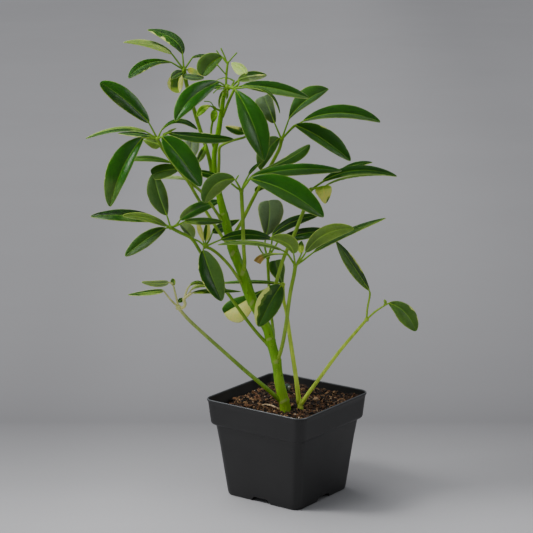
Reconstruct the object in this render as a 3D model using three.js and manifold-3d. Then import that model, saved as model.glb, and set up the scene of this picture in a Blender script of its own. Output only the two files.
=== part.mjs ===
import * as THREE from 'three';
import * as BufferGeometryUtils from 'three/addons/utils/BufferGeometryUtils.js';
import Module from 'manifold-3d';

const wasm = await Module();
wasm.setup();

// Everything is in millimetres. The origin is the centre of the pot's base, +Z is up, and the
// pot's sides run along X and Y. Stems and leaves are placed where the photograph shows them,
// by column, row and distance in front of the pot's axis.

// ---- Driving dimensions: pot ----
const POT_HEIGHT = 85.5;
const RIM_SIDE = 102;
const RIM_CORNER = 9;
const BASE_SIDE = 76.5;
const BASE_CORNER = 8;
const BAND_HEIGHT = 20;
const BAND_BOTTOM_SIDE = 97.5;
const BODY_TOP_SIDE = 90.5;
const LIP_HEIGHT = 1.6;
const LIP_OVERHANG = 0.5;
const WALL = 1.5;
const FLOOR = 5.2;
const POINTS_PER_CORNER = 5;
const NOTCH_WIDTH = 19;
const NOTCH_TOP_WIDTH = 14;
const NOTCH_HEIGHT = 4;
const NOTCH_DEPTH = 9;
const NOTCH_STEP = 0.8;
const CUT_OVERLAP = 5;
const MERGE_DISTANCE = 0.0001;

// ---- Driving dimensions: soil ----
const SOIL_LEVEL = 77.2;
const SOIL_RISE_RIGHT = 0.055;
const SOIL_RISE_BACK = 0.02;
const SOIL_ROUGHNESS = 1.5;
const SOIL_RING_SHARES = [1, 0.86, 0.68, 0.5, 0.32, 0.14];
const SOIL_RING_SHIFT = 1.2;
const GAP = 0.3;
const CHIP_COUNT = 12;
const CHIP_LENGTH = [5, 12];
const CHIP_WIDTH = [1.6, 3.2];
const CHIP_HEIGHT = 1.8;
const CHIP_REACH = [20, 36];
const CHIP_LEAN = [0.4, 0.15];
const BEAD_RADIUS = 3.5;
const BEAD_SPOT = [286.8, 387.7, -34];

// ---- Driving dimensions: stems and leaves ----
const BLADE_THICKNESS = 0.9;
const BLADE_BASE_HALF_WIDTH = 0.6;
const BLADE_TIP_HALF_WIDTH = 0.35;
const BLADE_WAVE = 0.6;
const WAVE_TURNS = 9;
const WAVE_SHIFT = 2.4;
// Share of a blade's length over which the direction of its midrib is taken.
const RIB_STEP = 0.02;
const USUAL_WIDEST = 0.5;
const USUAL_FULLNESS = 0.75;
const STEM_SIDES = 9;
const SIDE_STEM_SIDES = 7;
const STALK_SIDES = 5;
const THIN_TWIG = 2;
const THIN_TWIG_SIDES = 4;
const FOOT_FLARE = 1.25;
const LEAFLET_STALK_WIDTH = 1.7;
const HUB_RADIUS = 2.1;
// Corners of a leaflet stalk's ring, and the columns of its blade's back face.
const RING_DEGREES = [30, 90, 150, 210, 270, 330];
const BACK_COLUMNS = [3, 4];
// Number of spans along a blade that is at least so many millimetres long.
const SPANS_BY_LENGTH = [[38, 6], [18, 4], [8, 3], [0, 2]];

// ---- The view that the picture positions are read from ----
const VIEW_DISTANCE = 1800;
const VIEW_HEIGHT = 635;
const VIEW_SIDE = -17.5;
const VIEW_PITCH = THREE.MathUtils.degToRad(13.67);
const VIEW_FOCAL_PX = 2220;
const VIEW_CENTRE_PX = 266.5;
const POT_TURN = THREE.MathUtils.degToRad(36.2);

const ACROSS = new THREE.Vector3(1, 0, 0);
const UPWARD = new THREE.Vector3(0, Math.sin(VIEW_PITCH), Math.cos(VIEW_PITCH));
const AHEAD = new THREE.Vector3(0, Math.cos(VIEW_PITCH), -Math.sin(VIEW_PITCH));
const TOWARD = AHEAD.clone().negate();

// A point given by picture column, picture row and millimetres in front of the pot's axis.
function seen([column, row, near]) {
  const across = (column - VIEW_CENTRE_PX) / VIEW_FOCAL_PX;
  const upward = (VIEW_CENTRE_PX - row) / VIEW_FOCAL_PX;
  const ray = AHEAD.clone().addScaledVector(ACROSS, across).addScaledVector(UPWARD, upward);
  const reach = (VIEW_DISTANCE - near) / ray.y;
  return new THREE.Vector3(VIEW_SIDE, -VIEW_DISTANCE, VIEW_HEIGHT).addScaledVector(ray, reach);
}

// ---- Repeatable random numbers for the soil ----
let seed = 20413;
function random() {
  seed = (seed * 1103515245 + 12345) % 2147483648;
  return seed / 2147483648;
}
function spread(amount) {
  return (random() * 2 - 1) * amount;
}
function between([low, high]) {
  return low + random() * (high - low);
}

// ---- Solids ----
function solidFrom(corners, triangles) {
  const vertProperties = new Float32Array(corners.flatMap((p) => [p.x, p.y, p.z]));
  const triVerts = new Uint32Array(triangles.flat());
  return new wasm.Manifold(new wasm.Mesh({ numProp: 3, vertProperties, triVerts }));
}

function solidOf(geometry) {
  geometry.deleteAttribute('normal');
  geometry.deleteAttribute('uv');
  const merged = BufferGeometryUtils.mergeVertices(geometry, MERGE_DISTANCE);
  return new wasm.Manifold(new wasm.Mesh({
    numProp: 3,
    vertProperties: new Float32Array(merged.attributes.position.array),
    triVerts: new Uint32Array(merged.index.array),
  }));
}

function joined(solids) {
  return solids.reduce((whole, piece) => whole.add(piece));
}

function largestPiece(solid) {
  return solid.decompose().sort((a, b) => b.volume() - a.volume())[0];
}

function geometryOf(solid) {
  const mesh = solid.getMesh();
  const geometry = new THREE.BufferGeometry();
  geometry.setAttribute('position', new THREE.BufferAttribute(new Float32Array(mesh.vertProperties), 3));
  geometry.setIndex(new THREE.BufferAttribute(new Uint32Array(mesh.triVerts), 1));
  return geometry;
}

// Closed skin over a row of rings with the same number of points, ended by two flat fans. Each
// four-sided patch is split along one diagonal, and along the other one in the turned columns.
function skinOverRings(rings, turnedColumns = []) {
  const corners = rings.flat();
  const size = rings[0].length;
  const triangles = [];
  for (let ring = 0; ring < rings.length - 1; ring += 1) {
    for (let i = 0; i < size; i += 1) {
      const a = ring * size + i;
      const b = ring * size + ((i + 1) % size);
      if (turnedColumns.includes(i)) {
        triangles.push([a, b, a + size], [b, b + size, a + size]);
      } else {
        triangles.push([a, b, b + size], [a, b + size, a + size]);
      }
    }
  }
  const last = (rings.length - 1) * size;
  for (let i = 1; i < size - 1; i += 1) {
    triangles.push([0, i + 1, i], [last, last + i, last + i + 1]);
  }
  return solidFrom(corners, triangles);
}

// Round stem or stalk through a row of { at, width } stations.
function stalk(stations, sides, extraRadius = 0) {
  const rings = [];
  let side = null;
  stations.forEach((station, i) => {
    const ahead = stations[Math.min(i + 1, stations.length - 1)].at;
    const behind = stations[Math.max(i - 1, 0)].at;
    const along = ahead.clone().sub(behind).normalize();
    if (side === null) {
      side = new THREE.Vector3(0, 1, 0).cross(along).normalize();
    } else {
      side.addScaledVector(along, -side.dot(along)).normalize();
    }
    const other = along.clone().cross(side);
    const radius = station.width / 2 + extraRadius;
    const centre = station.at.clone();
    if (i === 0) {
      centre.addScaledVector(along, -extraRadius);
    }
    const ring = [];
    for (let k = 0; k < sides; k += 1) {
      const angle = (2 * Math.PI * k) / sides;
      ring.push(centre.clone()
        .addScaledVector(side, radius * Math.cos(angle))
        .addScaledVector(other, radius * Math.sin(angle)));
    }
    rings.push(ring);
  });
  return skinOverRings(rings);
}

function evenStalk(points, width, sides) {
  return stalk(points.map((p) => ({ at: p, width })), sides);
}

function bulb(centre, radius) {
  const ball = new THREE.IcosahedronGeometry(radius, 0);
  ball.translate(centre.x, centre.y, centre.z);
  return solidOf(ball);
}

// ---- Leaflets ----
// base, mid and tip lie on the midrib. left and right give each half of the blade, looking from
// base to tip, as [millimetres across the view, millimetres toward the viewer].
function ribPoint(leaflet, t) {
  const bend = leaflet.mid.clone().multiplyScalar(2)
    .addScaledVector(leaflet.base, -0.5).addScaledVector(leaflet.tip, -0.5);
  return leaflet.base.clone().multiplyScalar((1 - t) ** 2)
    .addScaledVector(bend, 2 * t * (1 - t))
    .addScaledVector(leaflet.tip, t * t);
}

function halfWidthShare(t, widest, fullness) {
  const lean = Math.log(0.5) / Math.log(widest);
  return Math.max(Math.sin(Math.PI * t ** lean), 0) ** fullness;
}

function readLeaflet(entry, index) {
  return {
    base: seen(entry.base),
    mid: seen(entry.mid),
    tip: seen(entry.tip),
    left: entry.left,
    right: entry.right,
    widest: entry.widest ?? USUAL_WIDEST,
    fullness: entry.fullness ?? USUAL_FULLNESS,
    blunt: entry.blunt ?? 0,
    phase: index * WAVE_SHIFT,
  };
}

// One leaflet as a single skin of six-pointed rings: round along its stalk from start, then
// flat and folded along the blade. Both faces are split into the same triangles.
function leafletSolid(leaflet, start, bends, stalkWidth) {
  const stalkPath = [start, ...bends];
  const bladeLength = leaflet.base.distanceTo(leaflet.mid) + leaflet.mid.distanceTo(leaflet.tip);
  const spans = SPANS_BY_LENGTH.find(([length]) => bladeLength >= length)[1];
  const bladeRings = [];
  let leftward = new THREE.Vector3();
  for (let i = spans; i >= 0; i -= 1) {
    const t = i / spans;
    const rib = ribPoint(leaflet, t);
    const along = ribPoint(leaflet, t + RIB_STEP).sub(ribPoint(leaflet, t - RIB_STEP)).normalize();
    leftward = ACROSS.clone().multiplyScalar(-along.dot(UPWARD))
      .addScaledVector(UPWARD, along.dot(ACROSS)).normalize();
    const share = halfWidthShare(t, leaflet.widest, leaflet.fullness);
    const least = THREE.MathUtils.lerp(BLADE_BASE_HALF_WIDTH, BLADE_TIP_HALF_WIDTH, t)
      + leaflet.blunt * t ** 3;
    const wave = BLADE_WAVE * share * Math.sin(WAVE_TURNS * t + leaflet.phase);
    const edge = (half, sign) => rib.clone()
      .addScaledVector(leftward, sign * (half[0] * share + least))
      .addScaledVector(TOWARD, half[1] * share + sign * wave);
    const left = edge(leaflet.left, 1);
    const right = edge(leaflet.right, -1);
    const normal = along.clone().cross(left.clone().sub(right)).normalize();
    const face = (p, sign) => p.clone().addScaledVector(normal, (sign * BLADE_THICKNESS) / 2);
    bladeRings.unshift([face(left, 1), face(rib, 1), face(right, 1), face(right, -1), face(rib, -1), face(left, -1)]);
  }
  const path = [...stalkPath, leaflet.base];
  const stalkRings = [];
  for (let i = stalkPath.length - 1; i >= 0; i -= 1) {
    const along = path[i + 1].clone().sub(path[Math.max(i - 1, 0)]).normalize();
    leftward = leftward.clone().addScaledVector(along, -leftward.dot(along)).normalize();
    const normal = along.clone().cross(leftward);
    stalkRings.unshift(RING_DEGREES.map((degrees) => {
      const angle = THREE.MathUtils.degToRad(degrees);
      return path[i].clone()
        .addScaledVector(leftward, (stalkWidth / 2) * Math.cos(angle))
        .addScaledVector(normal, (stalkWidth / 2) * Math.sin(angle));
    }));
  }
  return skinOverRings([...stalkRings, ...bladeRings], BACK_COLUMNS);
}

// Width of a leaf's stalk at a station: tapering from its foot where one is given, otherwise
// even, with a wider first station.
function stalkWidth(leaf, station) {
  if (leaf.foot) {
    return THREE.MathUtils.lerp(leaf.foot, leaf.width, station / (leaf.route.length - 1));
  }
  return leaf.width * (station === 0 ? FOOT_FLARE : 1);
}

// One compound leaf: its stalk, a knuckle where the leaflets meet, and every leaflet on its
// own short stalk.
function leafSolid(leaf) {
  const route = leaf.route.map(seen);
  const pieces = [];
  pieces.push(stalk(route.map((at, i) => ({ at, width: stalkWidth(leaf, i) })), STALK_SIDES));
  const hub = route[route.length - 1];
  pieces.push(bulb(hub, leaf.hub ?? HUB_RADIUS));
  (leaf.twigs ?? []).forEach((twig) => {
    const sides = twig.width < THIN_TWIG ? THIN_TWIG_SIDES : STALK_SIDES;
    pieces.push(evenStalk(twig.through.map(seen), twig.width, sides));
  });
  leaf.leaflets.forEach((entry, index) => {
    const start = entry.from ? seen(entry.from) : hub;
    const bends = (entry.via ?? []).map(seen);
    pieces.push(leafletSolid(readLeaflet(entry, index), start, bends, LEAFLET_STALK_WIDTH));
  });
  return joined(pieces);
}

// ---- Main stem, from the soil to the growing tip: position and width in millimetres ----
const MAIN_STEM = [
  { spot: [289, 436, 20], width: 9.2 },
  { spot: [287.5, 424, 19], width: 9.4 },
  { spot: [285.8, 411, 18], width: 9.4 },
  { spot: [284.2, 402, 17.5], width: 9.0 },
  { spot: [281.2, 390, 17], width: 8.7 },
  { spot: [279, 380, 16], width: 8.3 },
  { spot: [277.6, 370, 15], width: 8.0 },
  { spot: [276.2, 360.5, 14], width: 8.6 },
  { spot: [273.2, 350, 13], width: 8.0 },
  { spot: [270.3, 340, 12], width: 8.4 },
  { spot: [267.8, 330, 11], width: 8.4 },
  { spot: [263, 321, 10], width: 8.3 },
  { spot: [257, 310, 9], width: 8.4 },
  { spot: [252, 300, 8], width: 9 },
  { spot: [248.1, 290, 7], width: 9.4 },
  { spot: [245, 280, 6], width: 9.4 },
  { spot: [241.5, 270, 5], width: 9.0 },
  { spot: [237, 260, 4], width: 8.4 },
  { spot: [233.6, 250.5, 3], width: 9.0 },
  { spot: [230.5, 240, 2.5], width: 8.6 },
  { spot: [228, 231, 2], width: 7.6 },
  { spot: [225.3, 220, 1.5], width: 7.6 },
  { spot: [222.8, 210, 1], width: 6.5 },
  { spot: [220.4, 200, 0.5], width: 5.8 },
  { spot: [217.5, 188, 0], width: 5.4 },
  { spot: [214.6, 173, 0], width: 4.8 },
  { spot: [214.2, 161, 0], width: 4.3 },
  { spot: [214.8, 150, 0], width: 4.3 },
  { spot: [218.2, 133, 0], width: 4.6 },
  { spot: [221, 115, 0.5], width: 4.0 },
  { spot: [223.4, 99, 1], width: 3.3 },
  { spot: [225, 93, 1.5], width: 3.2 },
];

// ---- Compound leaves on the main stem ----
const LEAVES = {
  leaf_top_left: {
    width: 3.4,
    route: [[212.2, 172, -1], [209.5, 160, -3], [206, 147, -5], [200.5, 131, -8], [193.5, 108, -12],
      [187, 86, -14], [184, 70, -14]],
    leaflets: [
      { base: [182.5, 54, -18], mid: [172.2, 38.9, -26], tip: [147.5, 29.8, -38], left: [4.8, 6], right: [5, -6] },
      { base: [171.5, 53.5, -16], mid: [148.5, 44.3, -14], tip: [123.5, 42.4, -12], left: [1.8, -6], right: [2.6, 5],
        widest: 0.42 },
      { base: [171.5, 62.5, -12], mid: [147.5, 64, -2], tip: [128.6, 78.2, 6], left: [4.6, 6], right: [4.6, -5],
        widest: 0.66, fullness: 0.65 },
      { base: [192.5, 57.5, -20], mid: [203, 55.5, -32], tip: [215, 58, -44], left: [1.2, -5], right: [1.6, 4] },
      { base: [187.5, 69.6, -14], mid: [194.5, 71.9, -16], tip: [204.5, 76, -18], left: [1.8, 5], right: [1.8, -5],
        widest: 0.36 },
      { base: [181.5, 74.5, -12], mid: [178.3, 83.5, -6], tip: [179.5, 92.8, 0], left: [3.8, 1], right: [8.6, 1],
        fullness: 0.6 },
      { base: [182.8, 75.6, -8], mid: [192.6, 77.4, 2], tip: [204, 77.8, 4], left: [2.6, -5], right: [2.7, 5],
        fullness: 0.5 },
      { base: [182.6, 72.2, -8], mid: [177.2, 74.2, -2], tip: [170.8, 78.8, 4], left: [2.6, 3], right: [3.5, -3],
        fullness: 0.5 },
    ],
  },
  crown: {
    width: 3.2,
    hub: 3,
    route: [[225, 92.5, 1.5], [226, 90, 2], [227.5, 87.5, 2]],
    twigs: [
      { width: 2.4, through: [[222.6, 117, 1], [228, 103, 5], [233, 92, 7], [235, 88.5, 7]] },
      { width: 3, through: [[227, 88, 2], [231, 87.5, 4], [235, 88.5, 7]] },
      { width: 2, through: [[226, 87, 2], [226.4, 75, 0], [227.6, 64, -2], [227.9, 61.5, -2]] },
      { width: 1.2, through: [[226.3, 75, 0], [221, 69, 1], [216.8, 64.3, 2]] },
      { width: 1.3, through: [[227.6, 64.5, -2], [224.5, 56, -3], [220.8, 48.2, -4]] },
      { width: 1.2, through: [[227.7, 63.5, -2], [232, 58, -6], [236.8, 52.8, -10]] },
      { width: 1.1, through: [[222.3, 57, -4], [220, 55.3, -5], [216.3, 50.3, -6]] },
      { width: 1, through: [[224, 88.7, 3], [217.5, 89.4, 5], [213.2, 93.2, 7]] },
    ],
    leaflets: [
      { base: [222.3, 57, -4], mid: [210, 64.4, -1], tip: [203, 75.6, 5], left: [4.8, 3], right: [8.8, 2],
        from: [227.6, 63.8, -2], via: [[224.6, 60, -3]], fullness: 0.52, widest: 0.55, blunt: 1.2 },
      { base: [219, 82, 5], mid: [192.5, 97.3, 24], tip: [175.3, 121.6, 34], left: [7, 3], right: [8.8, -1] },
      { base: [235.5, 90, 10], mid: [252.5, 122.5, 26], tip: [264, 161, 32], left: [11, 3], right: [9.4, 5],
        from: [235, 88.5, 7], widest: 0.54 },
      { base: [243, 85.6, 6], mid: [275, 88.7, 13], tip: [309, 98.2, 14], left: [5.8, -6], right: [4.8, 6],
        from: [235, 88.5, 7], fullness: 0.65 },
      { base: [246, 87.5, 12], mid: [268.5, 92.6, 25], tip: [279.9, 113.5, 32], left: [1, -4], right: [1, 3],
        from: [235, 88.5, 7] },
      { base: [246.4, 74.2, -9], mid: [240.6, 67.6, -17], tip: [231.4, 63, -28], left: [5.6, 0], right: [2.6, 2],
        from: [231, 87.5, 4], via: [[238.4, 80.4, -4]], fullness: 0.6, widest: 0.45 },
      { base: [238.4, 80.2, 0], mid: [251.2, 76.6, -8], tip: [266.8, 75.3, -24], left: [4.6, -5], right: [3.8, 4],
        fullness: 0.6,
        from: [234, 88, 6], via: [[238.5, 84, 4]] },
      { base: [234, 81, -6], mid: [225.5, 78.3, -16], tip: [216.6, 80.4, -24], left: [0.4, 4], right: [0.4, -4],
        from: [231, 87.5, 4] },
      { base: [222, 86.5, 0], mid: [217, 86.8, -7], tip: [211.5, 88.8, -14], left: [1.4, 2], right: [1.8, -2] },
      { base: [222.7, 91, 6], mid: [220, 99.5, 7], tip: [219.2, 108, 8], left: [0.5, 1], right: [0.9, 1],
        from: [226, 89, 2] },
      { base: [227.5, 90.5, 5], mid: [227.4, 95, 6], tip: [226.5, 99.5, 6], left: [0.6, 0], right: [0.6, 0] },
    ],
  },
  young_leaf: {
    width: 1.6,
    hub: 1.5,
    route: [[220.4, 110.6, 2], [217, 109.3, 4], [214.3, 107.8, 5]],
    twigs: [
      { width: 0.9, through: [[214.3, 107.8, 5], [210.5, 102.2, 8], [204, 101.2, 12]] },
      { width: 2, through: [[212.7, 121, 8], [211.2, 130, 4], [211.8, 140, 2], [214.2, 149, 0]] },
    ],
    leaflets: [
      { base: [210.5, 106, 7], mid: [203.2, 109, 10], tip: [197, 116.8, 13], left: [2.6, 1], right: [2.8, 0],
        widest: 0.6 },
      { base: [214.4, 109.5, 6], mid: [214, 115.2, 8], tip: [212.4, 123.2, 8], left: [2.7, 1], right: [2.6, 1] },
    ],
  },
  leaf_upper_right: {
    width: 3,
    route: [[231.5, 239, 3], [237, 229.5, 2], [243, 219, 0], [256, 193, -6], [275, 157.5, -14], [279.6, 148, -13],
      [281.6, 139.5, -10]],
    leaflets: [
      { base: [289, 119, -12], mid: [305.4, 101.2, -16], tip: [328.6, 89.2, -24], left: [9.4, -4], right: [4.2, 4],
        widest: 0.6 },
      { base: [303.5, 121, -8], mid: [341, 113.3, -6], tip: [380.3, 122.2, -2], left: [7.4, -6], right: [4, 6],
        via: [[292.5, 128, -9]], fullness: 0.65, widest: 0.55 },
      { base: [294.6, 125.2, 0], mid: [321, 138.2, 8], tip: [350.5, 161, 16], left: [9.6, -2], right: [5, 5],
        via: [[288, 132, -5]], fullness: 0.65, widest: 0.55 },
      { base: [274.6, 123, -13], mid: [268.3, 107, -20], tip: [263.8, 96.2, -28], left: [7.4, 2], right: [4, -2],
        fullness: 0.55, blunt: 6 },
      { base: [279.2, 138.4, -9], mid: [268.5, 150, 0], tip: [260.3, 170, 6], left: [4.8, 3], right: [8.4, -2],
        fullness: 0.65 },
      { base: [256.6, 193, -6], mid: [258.6, 188.3, -7], tip: [269, 187, -9], left: [1.8, 1], right: [2.2, -1],
        from: [256, 193.5, -6] },
    ],
  },
  leaf_centre: {
    width: 3.2,
    route: [[243.8, 272, 6], [244.6, 262, 13], [243.8, 250, 21], [243.2, 235, 27], [242.8, 218, 29],
      [242, 204, 29], [241.4, 191, 28]],
    leaflets: [
      { base: [250.5, 179, 31], mid: [287, 191.5, 42], tip: [323.6, 217.2, 50], left: [11.4, 1], right: [7.4, 4],
        via: [[246.5, 184, 30]], fullness: 0.65, widest: 0.55 },
      { base: [252.5, 176.5, 25], mid: [296, 169.3, 15], tip: [341.6, 170.8, 6], left: [4.6, -6], right: [5, 6],
        via: [[247, 182.5, 28]], fullness: 0.62 },
      { base: [262, 170, 12], mid: [289, 158.8, 3], tip: [309.7, 144.6, -5], left: [3, -4], right: [5.4, 4],
        via: [[247, 182, 26], [253, 175.5, 18]], widest: 0.66, fullness: 0.6 },
      { base: [249, 174.5, 20], mid: [254, 168, 17], tip: [263, 161, 13], left: [1.2, -3], right: [1.2, 3],
        via: [[244.5, 183, 24]] },
      { base: [234.5, 179.3, 31], mid: [216, 184.3, 34], tip: [204.3, 203, 36], left: [7.4, 2], right: [8, -2],
        via: [[237.5, 183.5, 30]], fullness: 0.55, widest: 0.55 },
    ],
    twigs: [
      { width: 1.3, through: [[235.5, 180.5, 31], [237, 177.8, 31], [238.6, 175.3, 31]] },
      { width: 1.8, through: [[241.4, 191, 28], [237, 188, 27], [231.5, 183.6, 27]] },
    ],
  },
  leaf_right: {
    width: 3.1,
    route: [[265.5, 320, 9], [270.5, 303, 13], [276, 283, 15], [284, 257, 15], [294, 235, 12], [303.5, 211, 4],
      [311, 189.5, -4]],
    leaflets: [
      { base: [323, 181.2, -8], mid: [357.5, 170.6, -12], tip: [396.8, 176.3, -12], left: [4.4, -6], right: [3.4, 6],
        fullness: 0.6 },
      { base: [338, 172.4, -18], mid: [355.5, 165, -25], tip: [372.3, 162.4, -32], left: [2.2, -4], right: [2.2, 4],
        from: [311, 189.5, -4] },
      { base: [323, 186.3, -4], mid: [324.3, 193.6, 0], tip: [325.2, 203.7, 4], left: [6.4, 2], right: [6.6, -2],
        widest: 0.25, fullness: 0.6 },
      { base: [325.8, 185.8, 0], mid: [350, 176.9, 4], tip: [386, 175.3, 4], left: [0.5, -3], right: [0.6, 4] },
    ],
  },
  leaf_front: {
    width: 3.2,
    route: [[277, 362, 15], [280.5, 352, 19], [283.6, 339, 22], [287, 318, 26], [288.4, 306, 27], [291, 289, 28],
      [294, 275, 28], [295.3, 266, 28]],
    leaflets: [
      { base: [306, 252, 31], mid: [326, 233.8, 36], tip: [353.8, 228.6, 40], left: [6, 4], right: [6.2, -3],
        via: [[302, 258, 30]], fullness: 0.6 },
      { base: [314, 252, 27], mid: [345, 234, 20], tip: [385.6, 218.2, 14], left: [2.6, -6], right: [2.4, 5],
        via: [[303.5, 260, 28]], fullness: 0.65 },
      { base: [293.6, 253.5, 31], mid: [287, 243.4, 34], tip: [269.7, 238.6, 36], left: [2.8, -4], right: [7, 3],
        fullness: 0.6, widest: 0.45 },
      { base: [281, 249.8, 34], mid: [251, 242.6, 38], tip: [217.8, 244.9, 36], left: [1.8, 4], right: [1.4, -5],
        via: [[287.5, 254, 30]], fullness: 0.6 },
      { base: [301.6, 253.4, 24], mid: [300.8, 247.6, 16], tip: [301.6, 240.8, 8], left: [2.4, 0], right: [2.6, 0],
        from: [297, 263, 28] },
      { base: [283, 254.2, 29], mid: [266, 255.4, 25], tip: [257, 262.6, 22], left: [1.4, 2], right: [1.4, -2],
        from: [288, 254.6, 30], widest: 0.7, blunt: 2.8 },
    ],
  },
  leaf_back: {
    width: 2.6,
    route: [[272.6, 345, 10], [273.7, 335, 1], [271.8, 319, -6], [270, 300, -9], [269, 286, -10], [268.4, 275, -11],
      [267.8, 264, -12], [267.9, 257.5, -13]],
    leaflets: [
      { base: [266, 235.5, -17], mid: [269.3, 217, -26], tip: [268.8, 200.6, -38], left: [8, 2], right: [10.2, -2],
        via: [[264.8, 247, -15]], fullness: 0.5, widest: 0.6, blunt: 5 },
      { base: [272.6, 235.5, -16], mid: [292, 222.5, -16], tip: [318.5, 215.3, -14], left: [4.2, -5], right: [3.8, 5],
        via: [[271.2, 246, -15]], fullness: 0.6 },
      { base: [279, 240.5, -14], mid: [304, 233.6, -8], tip: [330, 231, -4], left: [4.4, -4], right: [4.6, 4],
        via: [[274.5, 247.5, -14]], fullness: 0.6 },
    ],
    twigs: [
      { width: 1.4, through: [[267.9, 257.5, -13], [262.5, 253, -12], [258.2, 246, -11]] },
    ],
  },
  leaf_lower_left: {
    width: 2.6,
    route: [[243.5, 286, 6], [239, 279.5, 11], [230.5, 267, 14], [220, 255.7, 15], [212, 249.5, 15], [205, 246.5, 15]],
    leaflets: [
      { base: [203, 250.4, 18], mid: [211, 274.5, 28], tip: [221.8, 301, 33], left: [9.4, 2], right: [8.4, 4],
        fullness: 0.62 },
      { base: [203.4, 242, 10], mid: [201, 233, 6], tip: [197.4, 221.5, 0], left: [2, 1], right: [1.6, -1],
        widest: 0.65, fullness: 0.6 },
      { base: [205.6, 241, 9], mid: [206.8, 232, 3], tip: [207.4, 221, -2], left: [2.4, 1], right: [2.8, -1] },
      { base: [212.4, 232.5, -3], mid: [222, 227.3, -17], tip: [239.6, 219.6, -27], left: [3.6, -1], right: [4, 1],
        via: [[209.5, 239.5, 11]] },
      { base: [221, 239.6, 17], mid: [246.5, 234.6, 19], tip: [272.5, 239.4, 17], left: [4.2, -3], right: [4, 3],
        fullness: 0.62 },
      { base: [193, 238.5, 8], mid: [187, 230.6, 3], tip: [179.5, 223.8, -2], left: [2.4, 2], right: [6, -2],
        via: [[199, 241.5, 12]], fullness: 0.6 },
    ],
  },
  leaf_far_left: {
    width: 2.8,
    route: [[268.5, 345, 12], [258, 334, 12], [247.6, 321, 12], [235, 303.6, 8], [229.7, 296, 6], [217, 279, 3],
      [206, 262, 4], [199.5, 250.5, 8], [191.5, 238.5, 15], [180, 232.5, 19], [170.5, 227.5, 21]],
    leaflets: [
      { base: [158, 220.5, 16], mid: [126, 215.6, 14], tip: [90.6, 216.4, 8], left: [4.6, 5], right: [5, -6],
        fullness: 0.62 },
      { base: [166, 225.8, 24], mid: [145.5, 217.6, 29], tip: [122.6, 215.8, 31], left: [2.6, -4], right: [3, 4],
        fullness: 0.55 },
      { base: [165.4, 228.2, 23], mid: [146.5, 239.3, 30], tip: [125.2, 256.2, 35], left: [5.4, 5], right: [6, -2],
        fullness: 0.6, widest: 0.55 },
      { base: [166.8, 215.2, 18], mid: [159.3, 195.5, 8], tip: [153.5, 173, -4], left: [9, 1], right: [6.4, -1],
        fullness: 0.62, widest: 0.55 },
      { base: [180.4, 219.6, 19], mid: [196.5, 209.6, 6], tip: [220, 201, -9], left: [5.2, -4], right: [4.4, 4],
        via: [[176, 225, 21]], fullness: 0.55 },
      { base: [184.5, 221.6, 20], mid: [203, 221.2, 16], tip: [223, 221.8, 12], left: [2.8, -4], right: [2.8, 4],
        via: [[177, 225.5, 21]], fullness: 0.6 },
    ],
  },
  leaf_left: {
    width: 2.8,
    route: [[232.5, 250, 1], [221, 235, -6], [209, 216, -10], [201, 203.5, -9], [194.8, 193, 4], [188, 181.5, 20],
      [178, 169, 29], [170, 159, 33], [161.5, 147, 35], [157.5, 138.8, 35]],
    leaflets: [
      { base: [148.7, 122.6, 33], mid: [124.5, 99.5, 35], tip: [100, 82.6, 34], left: [6.6, 3], right: [8, -3],
        fullness: 0.52, widest: 0.55 },
      { base: [146, 131.8, 35], mid: [117.5, 129.1, 40], tip: [85.8, 138.6, 42], left: [2.2, 6], right: [1.9, -6],
        fullness: 0.65 },
      { base: [152, 136.8, 32], mid: [136.5, 134, 24], tip: [118, 133.4, 16], left: [2.2, 4], right: [1.5, -4] },
      { base: [143, 138, 38], mid: [123.6, 166.2, 51], tip: [110, 206.8, 57], left: [6.2, 5], right: [11.6, 1],
        fullness: 0.62, widest: 0.54 },
      { base: [162, 137, 38], mid: [181, 158.2, 45], tip: [200.8, 186.5, 47], left: [10.8, 2], right: [7.8, 3],
        fullness: 0.6 },
      { base: [168.5, 133.2, 34], mid: [200, 137.6, 25], tip: [233.6, 139.2, 17], left: [4, -6], right: [4.4, 6],
        fullness: 0.6, widest: 0.55 },
      { base: [161.6, 130, 33], mid: [178.6, 120.6, 22], tip: [197.2, 129.4, 12], left: [1.8, -5], right: [2.2, 5],
        widest: 0.64, fullness: 0.6 },
      { base: [167.5, 132.3, 32], mid: [171.5, 130.3, 27], tip: [176.3, 128.4, 24], left: [0.5, 0], right: [0.6, 0],
        from: [163, 134.5, 34] },
      { base: [161, 145.4, 22], mid: [153.4, 142.6, 20], tip: [143.2, 140.2, 16], left: [4.4, 0], right: [3.4, 0],
        widest: 0.4 },
    ],
  },
  leaf_small: {
    width: 1.8,
    foot: 3,
    hub: 1.3,
    route: [[217, 180, 2], [218.4, 172, 5], [219, 160, 6], [219.4, 148.5, 7], [223.5, 144.3, 8], [233, 140.4, 9],
      [243.5, 137.6, 9], [247.5, 135, 9]],
    leaflets: [
      { base: [246.5, 131.6, 9], mid: [237, 130.3, 10], tip: [225.4, 126.3, 12], left: [3.4, 2], right: [3, -2],
        fullness: 0.6 },
    ],
  },
  leaf_inner: {
    width: 2.4,
    route: [[221.5, 220.5, 3], [217.5, 214, 6], [209, 201.5, 8], [199.5, 190, 10], [191, 182.5, 12], [188, 172, 13]],
    leaflets: [
      { base: [170, 162.4, 13], mid: [146, 158.9, 18], tip: [121, 161.5, 20], left: [1.9, 5], right: [2.6, -5] },
      { base: [178.5, 169, 15], mid: [165, 170.6, 18], tip: [152, 175, 20], left: [5.2, 2], right: [5.2, -2],
        fullness: 0.45, widest: 0.55, blunt: 2.5 },
      { base: [186, 179.4, 11], mid: [173.5, 177.5, 7], tip: [160.5, 178.6, 4], left: [1.1, 3], right: [1.4, -3],
        from: [190, 180, 12] },
      { base: [189, 165, 10], mid: [191.4, 149, 3], tip: [191, 135.6, -4], left: [5.4, 0], right: [5.6, 0],
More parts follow.
